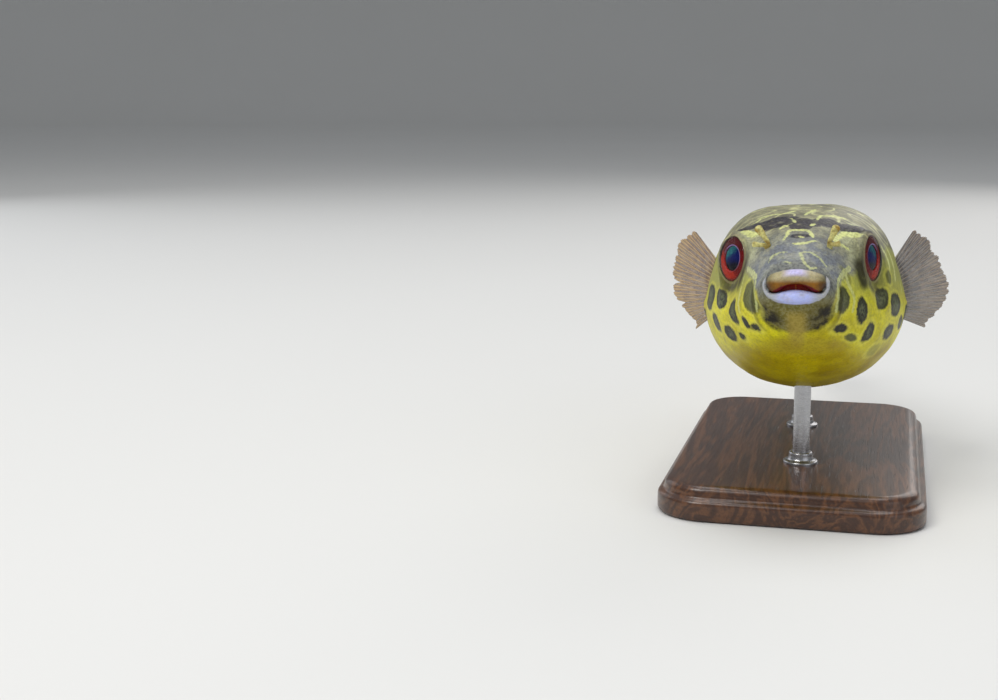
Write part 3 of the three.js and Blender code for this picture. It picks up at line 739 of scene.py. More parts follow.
# Pale lines drawn on the head: points on the skin, half the width, and how strongly they show.
PALE_LINES = [
    ([(-9.8, 16.3, 9.4), (-8.4, 14.9, 9.2), (-7.2, 14.1, 9.0)], 0.8, 1.0),
    ([(10.0, 15.2, 8.6), (8.5, 14.5, 8.8), (7.4, 14.2, 8.9), (6.6, 13.2, 8.6)], 0.62, 1.0),
    ([(6.9, 13.6, 8.7), (6.3, 12.4, 8.3), (6.0, 11.1, 7.6), (6.8, 11.3, 7.0), (8.0, 11.9, 6.4)], 0.5, 1.0),
    ([(-2.3, 8.9, 7.9), (-1.9, 10.3, 8.7), (-1.6, 11.6, 9.4), (0.1, 11.8, 9.6), (1.6, 11.3, 9.3),
        (2.4, 9.5, 8.3)], 0.34, 0.85),
    ([(-0.7, 7.3, 7.1), (0.7, 7.4, 7.1), (2.7, 8.6, 7.6)], 0.32, 0.8),
    ([(0.2, 9.5, 8.45), (0.8, 9.2, 8.3)], 0.28, 0.85),
    ([(-4.6, 5.2, 3.9), (-4.3, 5.6, 4.5), (-3.9, 5.9, 5.1), (-2.7, 5.9, 5.6), (-1.6, 5.6, 5.7)], 0.26, 0.5),
    ([(-1.9, 3.7, 4.0), (-1.4, 3.5, 4.05), (-0.8, 3.2, 3.9)], 0.2, 0.4),
    ([(0.6, 5.2, 5.6), (1.5, 5.5, 5.7), (2.5, 5.6, 5.5), (3.4, 5.3, 4.9), (4.2, 4.9, 4.1),
        (4.8, 4.6, 3.3)], 0.24, 0.5),
    ([(0.6, 5.2, 5.6), (0.9, 4.4, 4.9), (1.4, 3.3, 3.9), (1.9, 2.9, 3.3), (2.5, 2.7, 3.0),
        (3.2, 3.1, 3.1)], 0.26, 0.55),
    ([(-3.3, 12.9, 9.8), (-2.5, 13.9, 10.3), (-2.0, 13.3, 10.1)], 0.3, 0.8),
    ([(1.8, 13.6, 10.3), (2.3, 14.6, 10.6)], 0.35, 0.8),
    ([(-4.4, 12.4, 9.6), (-2.8, 13.2, 10.2), (-1.4, 14.6, 10.9)], 0.2, 0.5),
    ([(2.7, 16.7, 11.4), (3.2, 18.8, 12.1), (4.7, 19.8, 12.2), (6.0, 20.3, 12.0),
        (7.4, 20.8, 11.7)], 0.32, 0.85),
    ([(-7.7, 22.2, 12.0), (-5.6, 21.4, 12.5), (-3.3, 21.0, 12.7), (-1.4, 23.0, 13.3)], 0.4, 0.8),
    ([(-10.2, 20.4, 10.6), (-8.2, 19.8, 11.3), (-7.4, 20.6, 11.8), (-6.0, 20.6, 12.2)], 0.34, 0.8),
    ([(0.5, 19.5, 12.4), (1.2, 21.5, 12.9), (2.0, 23.9, 13.5)], 0.4, 0.85),
    ([(-1.7, 17.4, 11.7), (-1.1, 16.0, 11.4), (-0.9, 15.0, 11.0)], 0.26, 0.8),
    ([(7.3, 18.9, 11.1), (8.6, 18.4, 10.4), (10.0, 20.8, 10.5)], 0.3, 0.7),
    ([(-7.4, 7.8, 2.8), (-6.5, 5.3, 1.4), (-6.55, 4.8, -0.4), (-6.45, 4.7, -2.1),
        (-6.4, 5.3, -4.1)], 0.32, 0.7),
    ([(7.0, 6.6, 2.1), (6.6, 4.8, 0.6), (6.6, 4.6, -1.4), (6.35, 5.3, -4.0)], 0.34, 0.75),
    ([(8.4, 9.6, 3.2), (7.4, 7.2, 2.2), (7.0, 6.2, 1.4)], 0.5, 0.6),
    ([(-8.6, 10.2, 3.3), (-7.3, 7.4, 2.4), (-6.8, 6.0, 1.6)], 0.45, 0.55),
    ([(7.6, 8.0, 2.8), (8.1, 7.6, 0.6), (9.1, 8.6, -1.5), (8.9, 8.7, -4.1)], 0.36, 0.6),
    ([(-8.9, 10.7, 3.5), (-9.5, 10.3, 1.2), (-9.8, 9.9, -1.3), (-9.6, 9.6, -4.2)], 0.4, 0.6),
    ([(12.9, 23.0, 8.2), (13.7, 24.0, 6.8), (14.4, 24.5, 4.7), (14.8, 24.0, 3.0)], 0.45, 0.85),
    ([(13.7, 26.8, 7.5), (14.6, 27.2, 5.8), (15.3, 27.0, 3.7), (15.6, 25.9, 1.2)], 0.4, 0.8),
    ([(16.4, 29.6, -2.4), (16.8, 30.0, 0.6), (16.5, 30.8, 3.6), (15.7, 31.6, 6.6)], 0.4, 0.8),
    ([(-15.7, 21.4, 0.8), (-16.5, 24.2, 2.6), (-16.9, 27.0, 4.8)], 0.35, 0.8),
    ([(-16.9, 25.4, 1.6), (-17.5, 28.4, 2.6), (-17.7, 31.0, 4.4)], 0.35, 0.7),
]

# The pale brows between each eye and its tentacle.
BROWS = [
    [(-9.3, 14.8, 8.7), (-8.0, 12.4, 7.0), (-8.1, 11.0, 5.3)],
    [(7.6, 13.2, 7.9), (8.8, 12.7, 6.2), (9.3, 12.1, 4.8)],
]


def flank_spots():
    """Spots of the flanks that no cheek spot covers, in rows with their places jittered."""
    random = np.random.default_rng(12)
    spots = []
    for side in (1, -1):
        for angle, start, end, size, spacing in FLANK_ROWS:
            y = start + random.uniform(0, spacing)
            while y < end:
                tilt = angle + random.uniform(-0.09, 0.09)
                place = body_point(np.array(y), np.array(tilt if side > 0 else math.pi - tilt))
                scale = size * random.uniform(0.82, 1.12) * (1 - 0.3 * float(smooth(60, 98, y)))
                tone = random.uniform(0.65, 1.05)
                lean = random.uniform(-0.3, 0.3)
                spots.append((place, scale * random.uniform(1.0, 1.25), scale, lean, tone))
                y += spacing * random.uniform(0.85, 1.15)
    return spots


# The power of a spot's outline: 2 is an oval, more is squarer.
SPOT_POWER = 2.2


def spot_field(points):
    """How deep each point lies in a spot, in millimetres, and how dark the nearest spot is."""
    field = np.full(len(points), -4.0)
    tone = np.zeros(len(points))
    spots = CHEEK_SPOTS[1] + CHEEK_SPOTS[-1] + flank_spots()
    for place, wide, tall, lean, dark in spots:
        place = np.array(place, float)
        side = np.sign(place[0] - float(swing(place[1])))
        near = near_line(points, [place], 3 + 1.6 * max(wide, tall))
        slope = float(along("half", place[1] + 0.5) - along("half", place[1] - 0.5))
        near &= side * (points[:, 0] - swing(points[:, 1])) > 0.45 * abs(place[0])
        back, rise = (points[near] - place)[:, 1:].T
        u = (back - lean * rise) * math.hypot(1, slope) / wide
        v = rise * math.hypot(1, lean) / tall
        out = (np.abs(u) ** SPOT_POWER + np.abs(v) ** SPOT_POWER) ** (1 / SPOT_POWER)
        deep = (1 - out) * min(wide, tall)
        old = field[near]
        field[near] = np.maximum(old, deep)
        tone[near] = np.where(deep > old, dark, tone[near])
    return field, tone


def line_field(points, lines):
    """How deep each point lies in a drawn line, in millimetres, and how strongly that line shows."""
    field = np.full(len(points), -3.0)
    strength = np.zeros(len(points))
    for line, half, show in lines:
        line = curve_through(line, 33)
        near = near_line(points, line, 3 + half)
        away, place = distance_to_line(points[near], line)
        taper = 0.55 + 0.45 * np.sin(math.pi * np.clip(place, 0, 1)) ** 0.5
        deep = half * taper - away
        old = field[near]
        field[near] = np.maximum(old, deep)
        strength[near] = np.where(deep > old, show, strength[near])
    return field, strength


# The grey back's lower edge and the plain belly's upper edge: places back from the snout, and heights.
BACK_EDGE = [
    (0, -1.5), (4.5, -0.5), (6.2, 1.3), (9.5, 2.1), (12.5, 3.3), (16, 4.4),
    (22, 5.4), (30, 6.8), (45, 7.2), (70, 5.2), (88, 4.2), (100, 4.6),
]
BELLY_EDGE = [(0, -7.0), (8, -9.0), (20, -11.0), (40, -10.0), (70, -8.5), (100, -7.5)]


# How the edges of back and belly wander, as summed_noise takes it.
EDGE_WANDER = [(1.3, 5.5, 21), (0.5, 2.0, 22)]
# Ovals on the face: middle from the mouth's middle and from the axis, half width and half height.
MUZZLE = {"x": 0, "z": -1.6, "half": 6.15, "high": 5.7}
PALE_THROAT = {"x": 1.0, "z": -9.8, "half": 8.5, "high": 2.0}
# The pale lines of the back: wavelength, how fast they change sideways (1 is as fast as lengthwise), and seed.
MAZE = {"wavelength": 4.6, "across": 0.8, "seed": 5}


def from_middle(oval, x, z):
    """How far places lie from an oval's middle, with 1 at its edge."""
    return np.hypot((x - oval["x"]) / oval["half"], (z - oval["z"]) / oval["high"])


def zones(points):
    """Where the grey back, the plain belly, the snout and the dark band under the jaw are, each from 0 to 1.
    That band is partly dark mottling and partly painted shade in the creases round the jaw.
    """
    x, y, z = points.T
    x = x - swing(y)
    edge = np.interp(y, *zip(*BACK_EDGE))
    wander = summed_noise(points, EDGE_WANDER)
    back = smooth(-1.6, 1.6, z - edge + wander * smooth(4, 12, y))
    low = np.interp(y, *zip(*BELLY_EDGE))
    belly = smooth(1.6, -1.6, z - low + 0.7 * wander)
    snout = smooth(15, 5, y) * smooth(-1.5, 0.5, z)
    brow = np.zeros(len(points))
    for line in BROWS:
        away, _ = distance_to_line(points, curve_through(line, 15))
        brow = np.maximum(brow, hump(away, 2.1))
    x = x - MOUTH["x"]
    ring = from_middle(MUZZLE, x, z)
    face = smooth(11, 9, y)
    muzzle = smooth(1.1, 0.97, ring) * face
    muzzle_low = smooth(-0.6, -3.4, z + 0.4 * wander)
    # The dark band under the jaw: partly mottling, partly painted shade in the creases round it.
    chin = smooth(0.45, 0.85, ring) * smooth(1.18, 1.04, ring) * smooth(-1.8, -3.8, z) * face
    chin = chin * (0.1 + 0.9 * smooth(1.2, 3.4, np.abs(x + 0.2)))
    throat = smooth(2.2, 0.6, np.abs(x)) * smooth(-3.4, -5.0, z) * smooth(-13, -8, z) * face
    cream = smooth(1.0, 0.5, from_middle(PALE_THROAT, x, z)) * smooth(16, 12, y)
    throat = np.maximum(throat, 0.5 * cream)
    return {
        "back": back,
        "belly": belly,
        "snout": snout,
        "chin": chin,
        "muzzle": muzzle,
        "muzzle_low": muzzle_low,
        "throat": throat,
        "brow": brow,
        "high": smooth(-4.5, 2.0, z) * smooth(60, 30, y),
    }


# ---------------------------------------------------------------- nasal tentacles

# Each tentacle has a tall lobe and a short outer one: points from its root, and half widths along them.
TALL_LOBE = [
    (1.0, 2.0, -2.3), (0.35, 0.6, -1.1), (-0.25, -0.3, 0.3), (-0.7, -0.85, 1.4),
    (0.0, -1.1, 2.7), (1.25, -0.95, 4.5),
]
SHORT_LOBE = [(-0.6, -0.5, 0.7), (-0.1, -0.9, 1.3), (0.8, -1.0, 1.4), (2.0, -0.95, 1.55)]
TALL_WIDTH = [1.0, 0.5, 0.36, 0.34, 0.46, 0.86]
SHORT_WIDTH = [0.38, 0.34, 0.36, 0.52]
TENTACLE_FLAT = 0.6
FORWARD = np.array([0.0, -1.0, 0.0])


def tentacle_lobe(side, steps, widths, rows=46, around=28):
    """Points and faces of one flattened lobe with a round tip and a slightly wrinkled skin."""
    line = np.array(TENTACLE[side]) + curve_through(steps, rows) * (side * TENTACLE_SPREAD[side], 1, 1)
    t = np.linspace(0, 1, rows)
    width = np.interp(t, np.linspace(0, 1, len(widths)), widths)
    width = width * np.sqrt(1 - np.clip((t - 0.88) / 0.125, 0, 1) ** 2) + 0.02
    ahead = unit(np.gradient(line, axis=0))
    across = unit(np.cross(FORWARD, ahead))
    thin = np.cross(ahead, across)
    turn = np.arange(around) * 2 * math.pi / around
    wrinkle = 1 + 0.05 * np.sin(t[:, None] * 40 + 2 * np.sin(turn)) + 0.04 * np.sin(3 * turn + 7 * t[:, None])
    wide = (width[:, None] * wrinkle)[..., None]
    cos, sin = np.cos(turn)[None, :, None], np.sin(turn)[None, :, None]
    rings = line[:, None] + wide * (cos * across[:, None] + TENTACLE_FLAT * sin * thin[:, None])
    points, faces = closed_loft(rings, line[0], line[-1])
    return points, outward(points, faces)


# ---------------------------------------------------------------- skin material

SKIN_COLOURS = {
    "flank": (0.88, 0.85, 0.05),
    "flank_deep": (0.76, 0.71, 0.01),
    "flank_dull": (0.62, 0.60, 0.14),
    "flank_high": (0.54, 0.57, 0.33),
    "belly": (0.74, 0.67, 0.0),
    "belly_deep": (0.63, 0.55, 0.0),
    "back": (0.48, 0.475, 0.39),
    "back_pale": (0.61, 0.60, 0.48),
    "back_dark": (0.32, 0.31, 0.26),
    "snout": (0.44, 0.46, 0.50),
    "snout_warm": (0.57, 0.58, 0.54),
    "brow": (0.69, 0.70, 0.56),
    "line": (0.83, 0.85, 0.56),
    "maze": (0.82, 0.82, 0.60),
    "bar": (0.05, 0.03, 0.12),
    "bar_pale": (0.24, 0.22, 0.26),
    "halo": (0.93, 0.91, 0.36),
    "spot": (0.12, 0.13, 0.05),
    "spot_grey": (0.36, 0.39, 0.26),
    "spot_olive": (0.40, 0.41, 0.16),
    "muzzle": (0.38, 0.39, 0.39),
    "muzzle_low": (0.38, 0.34, 0.12),
    # dark band under the jaw: partly mottling, partly painted shade
    "chin": (0.09, 0.065, 0.01),
    "throat": (0.66, 0.58, 0.24),
    # painted highlight on top of the upper lip
    "lip_highlight": (0.77, 0.74, 0.91),
    "lip_tan": (0.68, 0.64, 0.50),
    "lip_gold": (0.55, 0.36, 0.04),
    "lip_red": (0.42, 0.01, 0.0),
    # the upper lip's ends: its gold and tan in painted shade
    "shaded_lip_gold": (0.22, 0.12, 0.02),
    "shaded_lip_end": (0.42, 0.39, 0.25),
    "lower_lip": (0.72, 0.76, 0.99),
    "lower_lip_side": (0.68, 0.70, 0.74),
    "mouth": (0.36, 0.0, 0.0),
    "tentacle": (0.82, 0.80, 0.52),
    "tentacle_tip": (0.58, 0.48, 0.22),
    "rim": (0.62, 0.56, 0.42),
    "rim_shade": (0.16, 0.14, 0.03),
    # painted shade along the folds
    "fold": (0.15, 0.14, 0.02),
    "fin_base": (0.80, 0.77, 0.20),
    "spot_black": (0.06, 0.055, 0.04),
    # painted shade inside the eye openings
    "socket_shade": (0.07, 0.03, 0.02),
    "grain_pale": (0.95, 0.93, 0.80),
    "grain_dark": (0.20, 0.17, 0.10),
}


def skin_material():
    s = Shader("puffer_skin")
    c = SKIN_COLOURS
    value, step, mix = s.value, s.step, s.mix
    broad, medium, fine, speck = s.noise(6.0, 2), s.noise(1.6, 3), s.noise(0.45, 3), s.noise(0.16, 2)

    def ragged(name, amount):
        """A field in millimetres with its edge broken up by the finer noises."""
        return value(name) + (medium + fine - 1.0) * amount

    # The plain grounds: yellow flanks and belly, grey back and snout, muzzle and throat, and the dark band
    # under the jaw, partly mottling and partly painted shade.
    back_share = step(value("back") + medium * 0.9 - 0.45, 0.15, 0.85)
    flank = mix(step(broad, 0.35, 0.7), c["flank"], c["flank_deep"])
    belly = mix(step(broad, 0.35, 0.7), c["belly"], c["belly_deep"])
    flank = mix(value("high") * 0.8, flank, c["flank_high"])
    flank = mix(step(medium, 0.48, 0.68, 0.0, 0.4), flank, c["flank_dull"])
    colour = mix(value("belly"), flank, belly)
    grey = mix(step(medium, 0.38, 0.66), c["back"], c["back_pale"])
    grey = mix(step(broad, 0.5, 0.72) * 0.75, grey, c["back_dark"])
    snout = mix(step(medium, 0.4, 0.65), c["snout"], c["snout_warm"])
    colour = mix(back_share, colour, mix(value("snout"), grey, snout))
    colour = mix(value("brow") * step(medium, 0.3, 0.6, 0.45, 0.9), colour, c["brow"])
    muzzle = mix(value("muzzle_low"), c["muzzle"], c["muzzle_low"])
    muzzle = mix(step(fine, 0.35, 0.65, 0.0, 0.3), muzzle, c["snout_warm"])
    colour = mix(value("muzzle") * 0.9, colour, muzzle)
    # Darkens the band under the jaw: partly mottling, partly painted shade in the creases round the jaw.
    colour = mix(value("chin") * step(medium, 0.36, 0.58, 0.4, 1.0), colour, c["chin"])
    colour = mix(value("throat") * 0.8, colour, c["throat"])

    # The wandering pale lines of the back and the dark bars of the forehead.
    maze = step(abs(ragged("maze", 0.16)), 0.24, 0.10) * step(broad, 0.26, 0.42)
    colour = mix(maze * value("maze_show") * 0.8, colour, c["maze"])
    bars = mix(step(fine, 0.42, 0.62), c["bar"], c["bar_pale"])
    bars = mix(step(medium, 0.56, 0.72, 0.0, 0.35), bars, c["back_pale"])
    colour = mix(step(ragged("bars", 1.3), -0.25, 0.15) * 0.95, colour, bars)

    # Dark spots, each with a grainy middle and a pale halo, and the pale lines of the head.
    halo = s.math("SUBTRACT", step(ragged("spots", 0.4), -0.8, -0.25), back_share, clamp=True)
    colour = mix(halo * 0.3, colour, c["halo"])
    grain = step(fine + medium * 0.6, 0.62, 0.95)
    spot = mix(step(value("spots"), 0.3, 1.3) * grain, c["spot"], c["spot_grey"])
    spot = mix(step(value("tone"), 0.75, 0.3), spot, c["spot_olive"])
    spot = mix(step(value("tone"), 0.95, 1.25, 0.0, 0.8), spot, c["spot_black"])
    spot_share = step(ragged("spots", 0.8), -0.2, 0.36) * step(value("tone"), 0.0, 0.55)
    colour = mix(spot_share, colour, spot)
    colour = mix(step(ragged("pale", 0.5), -0.16, 0.14) * value("pale_show"), colour, c["line"])

    # Fin roots, painted shade along the folds and round the eyes, the pale rims round the eyes, and painted
    # shade inside the eye openings.
    colour = mix(value("fin_base") * (back_share * -0.65 + 0.8), colour, c["fin_base"])
    # Painted shade along the folds, where the skin is pressed in.
    colour = mix(step(value("fold"), 0.1, 0.75) * step(medium, 0.25, 0.5, 0.6, 0.95), colour, c["fold"])
    shade = step(value("orbit"), 3.2, 1.2) * value("orbit_shade")
    colour = mix(shade * step(medium, 0.25, 0.6, 0.4, 1.0), colour, c["rim_shade"])
    rim = step(abs(value("orbit") - 0.2), 0.26, 0.1)
    colour = mix(rim * step(medium, 0.25, 0.6, 0.05, 0.45), colour, c["rim"])
    # Painted shade where the skin turns down into each eye opening.
    colour = mix(step(value("orbit"), 0.02, -0.16), colour, c["socket_shade"])

    # The lips, the mouth and the tentacles.
    down, side = fine * 0.3 + value("lip_down") - 0.15, value("lip_side")
    # A painted highlight, lilac-white, on the top of the upper lip's middle.
    upper = mix(step(down, 0.1, -0.6) * step(side, 0.5, 0.1), c["lip_tan"], c["lip_highlight"])
    # Painted shade on the ends of the upper lip: darker olive-brown over the tan.
    upper = mix(step(side, 0.55, 0.95), upper, c["shaded_lip_end"])
    gold = step(medium * 0.4 + value("gold_edge") - 0.2, 0.5, -0.45)
    upper = mix(gold, upper, c["lip_gold"])
    # Painted shade on the gold at the lip's ends, turning it brown.
    upper = mix(gold * step(side, 0.55, 0.95), upper, c["shaded_lip_gold"])
    upper = mix(step(fine * 0.16 + value("red_edge"), 0.2, -0.02), upper, c["lip_red"])
    colour = mix(value("upper_lip"), colour, upper)
    lower = mix(step(side, 0.3, 0.8), c["lower_lip"], c["lower_lip_side"])
    lower = mix(step(medium, 0.4, 0.75, 0.0, 0.3), lower, c["lip_tan"])
    colour = mix(value("lower_lip"), colour, lower)
    colour = mix(value("mouth"), colour, c["mouth"])
    tentacle = mix(step(medium, 0.35, 0.65), c["tentacle"], c["tentacle_tip"])
    colour = mix(value("tentacle"), colour, tentacle)

    # A fine grain over all of it, deepest on the back and faintest on the lips.
    colour = mix(step(speck, 0.40, 0.66, 0.0, 0.3), colour, c["grain_pale"], "SOFT_LIGHT")
    lips = s.math("MAXIMUM", value("upper_lip"), value("lower_lip"))
    depth = s.math("ADD", back_share * 0.14, lips * -0.14 + 0.2, clamp=True)
    colour = mix(step(fine, 0.58, 0.34) * depth, colour, c["grain_dark"], "MULTIPLY")

    normal = s.bump(fine, 0.05, s.bump(medium, 0.10))
    normal = s.bump(step(s.cells(0.42), 0.0, 0.5), 0.02, normal)
    normal = s.bump(step(s.cells(1.5), 0.16, 0.0), 0.05, normal)
    return s.principled(
        Base_Color=colour,
        Roughness=fine * 0.22 + 0.36,
        Normal=normal,
        Subsurface_Weight=0.12,
        Subsurface_Radius=(1.0, 0.6, 0.25),
        Subsurface_Scale=0.0012,
        Coat_Weight=0.1,
        Coat_Roughness=0.2,
        Specular_IOR_Level=0.25,
    )


FLESH_NODES = [
    "head", "trunk", "belly", "tail_stem", "upper_lip", "lower_lip",
    "nasal_tentacle_left", "nasal_tentacle_right",
]
# The skin's per-point numbers on the tentacles, where they aren't 0.
LOBE_VALUES = {"tentacle": 1.0, "spots": -4, "pale": -3, "bars": -3, "maze": 1, "orbit": 6, "back": 1}


def build_skin():
    rings = skin_rings()
    rings, orbit = orbit_bulge(rings)
    rings, lips = mouth_shape(rings)
    rings, fold, fin_base = fold_skin(rings, grid_normals(rings))
    first_tip = rings[0].mean(axis=0)
    last_tip = rings[-1].mean(axis=0) + (0, 0.25, 0)
    points, faces = closed_loft(rings, first_tip, last_tip)
    faces = outward(points, faces)
    spots, tone = spot_field(points)
    pale, pale_show = line_field(points, PALE_LINES)
    bars, _ = line_field(points, [(line, half, 1.0) for line, half in FOREHEAD_BARS])
    areas = zones(points)
    body_end = np.zeros(2)
    orbit = np.concatenate([orbit.ravel(), body_end + 9])
    side_shade = smooth(-0.4, 0.5, (EYE["z"] + 1.5 - points[:, 2]) / 6) * smooth(22, 16, points[:, 1])
    lip_x = np.abs(points[:, 0] - MOUTH["x"])
    values = {
        **areas,
        "spots": spots,
        "tone": tone,
        "pale": pale,
        "pale_show": pale_show,
        "bars": bars,
        "maze": labyrinth(points * (MAZE["across"], 1, 1), MAZE["wavelength"], MAZE["seed"]),
        "maze_show": areas["back"] * smooth(11, 16, points[:, 1]),
        "orbit": np.minimum(orbit, 6),
        "orbit_shade": 0.25 + 0.65 * side_shade,
        "fold": np.concatenate([fold, body_end]),
        "fin_base": np.concatenate([fin_base, body_end]),
        **{key: np.concatenate([value.ravel(), body_end]) for key, value in lips.items()},
        "lip_side": np.minimum(1.2, lip_x / LOWER_LIP["half"]),
        "gold_edge": np.clip(points[:, 2] - 0.94 + 0.014 * lip_x**2, -3, 3),
        "red_edge": np.clip(points[:, 2] - 0.5 + 0.088 * lip_x**2, -3, 3),
        "tentacle": np.zeros(len(points)),
    }
    for side in (1, -1):
        for steps, widths in ((TALL_LOBE, TALL_WIDTH), (SHORT_LOBE, SHORT_WIDTH)):
            lobe, lobe_faces = tentacle_lobe(side, steps, widths)
            faces += [f + len(points) for f in lobe_faces]
            points = np.vstack([points, lobe])
            for key in values:
                values[key] = np.concatenate([values[key], np.full(len(lobe), LOBE_VALUES.get(key, 0.0))])
    add_piece("skin", points, faces, skin_material(), "skin_back", FLESH_NODES, values)


# ---------------------------------------------------------------- eyes

# Turned profiles about the gaze: radius and height above the eye's centre.
IRIS_PROFILE = [
    (0, -3.3), (1.6, -3.1), (3.0, -2.3), (3.85, -0.9), (4.1, 0.6), (4.1, 1.8), (4.06, 2.6), (3.95, 2.92),
    (3.6, 3.04), (3.1, 3.1), (2.7, 3.16), (2.4, 3.2), (2.26, 3.2), (2.19, 3.12), (2.14, 2.9), (2.0, 2.4),
    (0, 2.3),
]
PUPIL_PROFILE = [
    (0, 3.16), (0.7, 3.15), (1.5, 3.1), (1.98, 3.02), (2.17, 2.92), (2.15, 2.7), (1.2, 2.5),
    (0, 2.45),
]
CORNEA = {"rim": 3.98, "rim_height": 2.98, "top": 4.42, "wall": 0.1}


def cornea_profile():
    """A thin clear shell over the front of the eye."""
    rise = CORNEA["top"] - CORNEA["rim_height"]
    radius = (CORNEA["rim"] ** 2 + rise**2) / (2 * rise)
    turn = np.linspace(0, math.asin(CORNEA["rim"] / radius), 40)
    dome = np.stack([np.sin(turn), np.cos(turn)], axis=1)
    middle = (0, CORNEA["top"] - radius)
    return np.vstack([dome * radius + middle, dome[::-1] * (radius - CORNEA["wall"]) + middle])


def iris_material():
    s = Shader("puffer_iris")
    radius, up, across = s.value("from_axis"), s.value("up"), s.value("across")
    mottle, fibre = s.noise(0.7, 3, warp=0.6), s.noise(0.22, 3)
    height = mottle * 2.4 + up - 1.2
    red = s.mix(s.step(fibre, 0.35, 0.7), (0.32, 0.005, 0.02), (0.46, 0.03, 0.02))
    orange = s.mix(s.step(fibre, 0.35, 0.7), (0.48, 0.03, 0.0), (0.76, 0.20, 0.01))
    colour = s.mix(s.step(across * -0.9 + height, -0.7, -3.0), red, orange)
    colour = s.mix(s.step(mottle * 1.6 + height, 3.2, 1.4, 0.6, 0.0), colour, (0.20, 0.02, 0.05))
    colour = s.mix(s.step(mottle, 0.62, 0.78, 0.0, 0.7), colour, (0.12, 0.02, 0.03))
    colour = s.mix(s.step(radius, 3.2, 3.9, 0.0, 0.8), colour, (0.13, 0.015, 0.01))
    ring = s.step(abs(radius - 2.3), 0.14, 0.03) * s.step(up + across * -0.8, -1.2, 2.0, 0.05, 0.7)
    colour = s.mix(ring, colour, (0.62, 0.56, 0.80))
    normal = s.bump(fibre, 0.06)
    return s.principled(
        Base_Color=colour, Roughness=0.45, Normal=normal, Coat_Weight=0.03, Specular_IOR_Level=0.1
    )


def pupil_material():
    s = Shader("puffer_pupil")
    cloud = s.noise(0.6, 3, warp=0.8)
    # The pupil's colours are a painted reflection: a blue sheen that rises towards the top, a blue-green sheen
    # towards the top and one side with pale specks in it, and black below.
    painted_sheen = cloud * 1.1 + s.value("up") - 0.55
    colour = s.mix(s.step(painted_sheen, -1.35, 0.1), (0.0, 0.005, 0.05), (0.0, 0.05, 0.32))
    teal_sheen = painted_sheen + s.value("across") * 0.5
    colour = s.mix(s.step(teal_sheen, 0.2, 1.7), colour, (0.04, 0.32, 0.36))
    sheen_flecks = s.step(s.noise(0.3, 2), 0.55, 0.68) * s.step(teal_sheen, 0.3, 1.3, 0.0, 0.7)
    colour = s.mix(sheen_flecks, colour, (0.30, 0.68, 0.66))
    return s.principled(Base_Color=colour, Roughness=0.3, Normal=s.bump(cloud, 0.03), Specular_IOR_Level=0.1)


def clear_material():
    """Clear cornea: seen through, with a gloss that grows towards its edge."""
    s = Shader("puffer_cornea")
    white = (1, 1, 1)
    through = s.node("BsdfTransparent", {"Color": white})
    gloss = s.node("BsdfGlossy", {"Color": white, "Roughness": 0.04, "Normal": s.bump(s.noise(1.5, 2), 0.01)})
    share = s.math("POWER", s.node("LayerWeight", output="Facing"), 7.0) * 0.2 + 0.004
    return s.surface(s.node("MixShader", {0: share, 1: through, 2: gloss}))


def build_eyes():
    parts = [
        ("iris", curve_through(IRIS_PROFILE, 90), iris_material(), "iris", "eye"),
        ("pupil", curve_through(PUPIL_PROFILE, 44), pupil_material(), "pupil", "pupil"),
        ("cornea", cornea_profile(), clear_material(), "iris", None),
    ]
    for side, name in ((1, "left"), (-1, "right")):
        centre, look, up, across = gaze_frame(side)
        for part, profile, material, slot, node in parts:
            local, faces = lathe(profile, 128)
            points = centre + local[:, :1] * across + local[:, 1:2] * up + local[:, 2:] * look
            values = {
                "across": local[:, 0] * side,
                "up": local[:, 1],
                "from_axis": np.hypot(local[:, 0], local[:, 1]),
            }
            nodes = [f"{node}_{name}"] if node else []
            add_piece(f"{part}_{name}", points, faces, material, slot, nodes, values)


# ---------------------------------------------------------------- tooth plates


def tooth_material():
    s = Shader("puffer_tooth_plate")
    streak = s.noise(0.5, 3, stretch=(2.5, 1, 0.5))
    colour = s.mix(s.step(s.value("height"), 0.1, 0.9), (0.44, 0.0, 0.0), (0.52, 0.10, 0.01))
    colour = s.mix(s.step(streak, 0.45, 0.7, 0.0, 0.3), colour, (0.60, 0.20, 0.05))
    colour = s.mix(s.step(abs(s.value("across")), 0.14, 0.02, 0.0, 0.8), colour, (0.75, 0.42, 0.10))
    normal = s.bump(streak, 0.05)
    return s.principled(
        Base_Color=colour, Roughness=0.35, Normal=normal, Coat_Weight=0.05, Specular_IOR_Level=0.15
    )


def build_teeth():
    """Two fused upper plates with a seam between them and a thin, slightly uneven cutting edge."""
    columns, rows = 161, 40
    u = np.linspace(-1, 1, columns)
    v = np.linspace(0, 1, rows)
    seam = hump(u, 0.03)
    drop = BEAK["height"] * (1 - 0.10 * seam + 0.025 * np.sin(26 * u) * (np.abs(u) < 0.9))
    layers = []
    for front in (True, False):
        thick = (BEAK["thickness"] * (1 - 0.72 * smooth(0.45, 1.0, v)))[:, None]
        bow = BEAK["y"] + BEAK["bulge"] * u**2 + 0.12 * seam
        y = bow[None, :] - 0.18 * np.sin(math.pi * v)[:, None] if front else bow[None, :] + thick - 0.1
        z = BEAK["z"] + BEAK["height"] - v[:, None] * drop[None, :]
        layers.append(np.stack([np.broadcast_to(MOUTH["x"] + u * BEAK["half"], y.shape), y, z], axis=2))
    rings = np.concatenate([layers[0], layers[1][:, ::-1]], axis=1)
    top, bottom = rings[0].mean(axis=0), rings[-1].mean(axis=0)
    points, faces = closed_loft(rings, top, bottom)
    values = {"height": (points[:, 2] - BEAK["z"]) / BEAK["height"], "across": points[:, 0] - MOUTH["x"]}
    faces = outward(points, faces)
    add_piece("upper_tooth_plates", points, faces, tooth_material(), "tooth", ["upper_beak"], values)


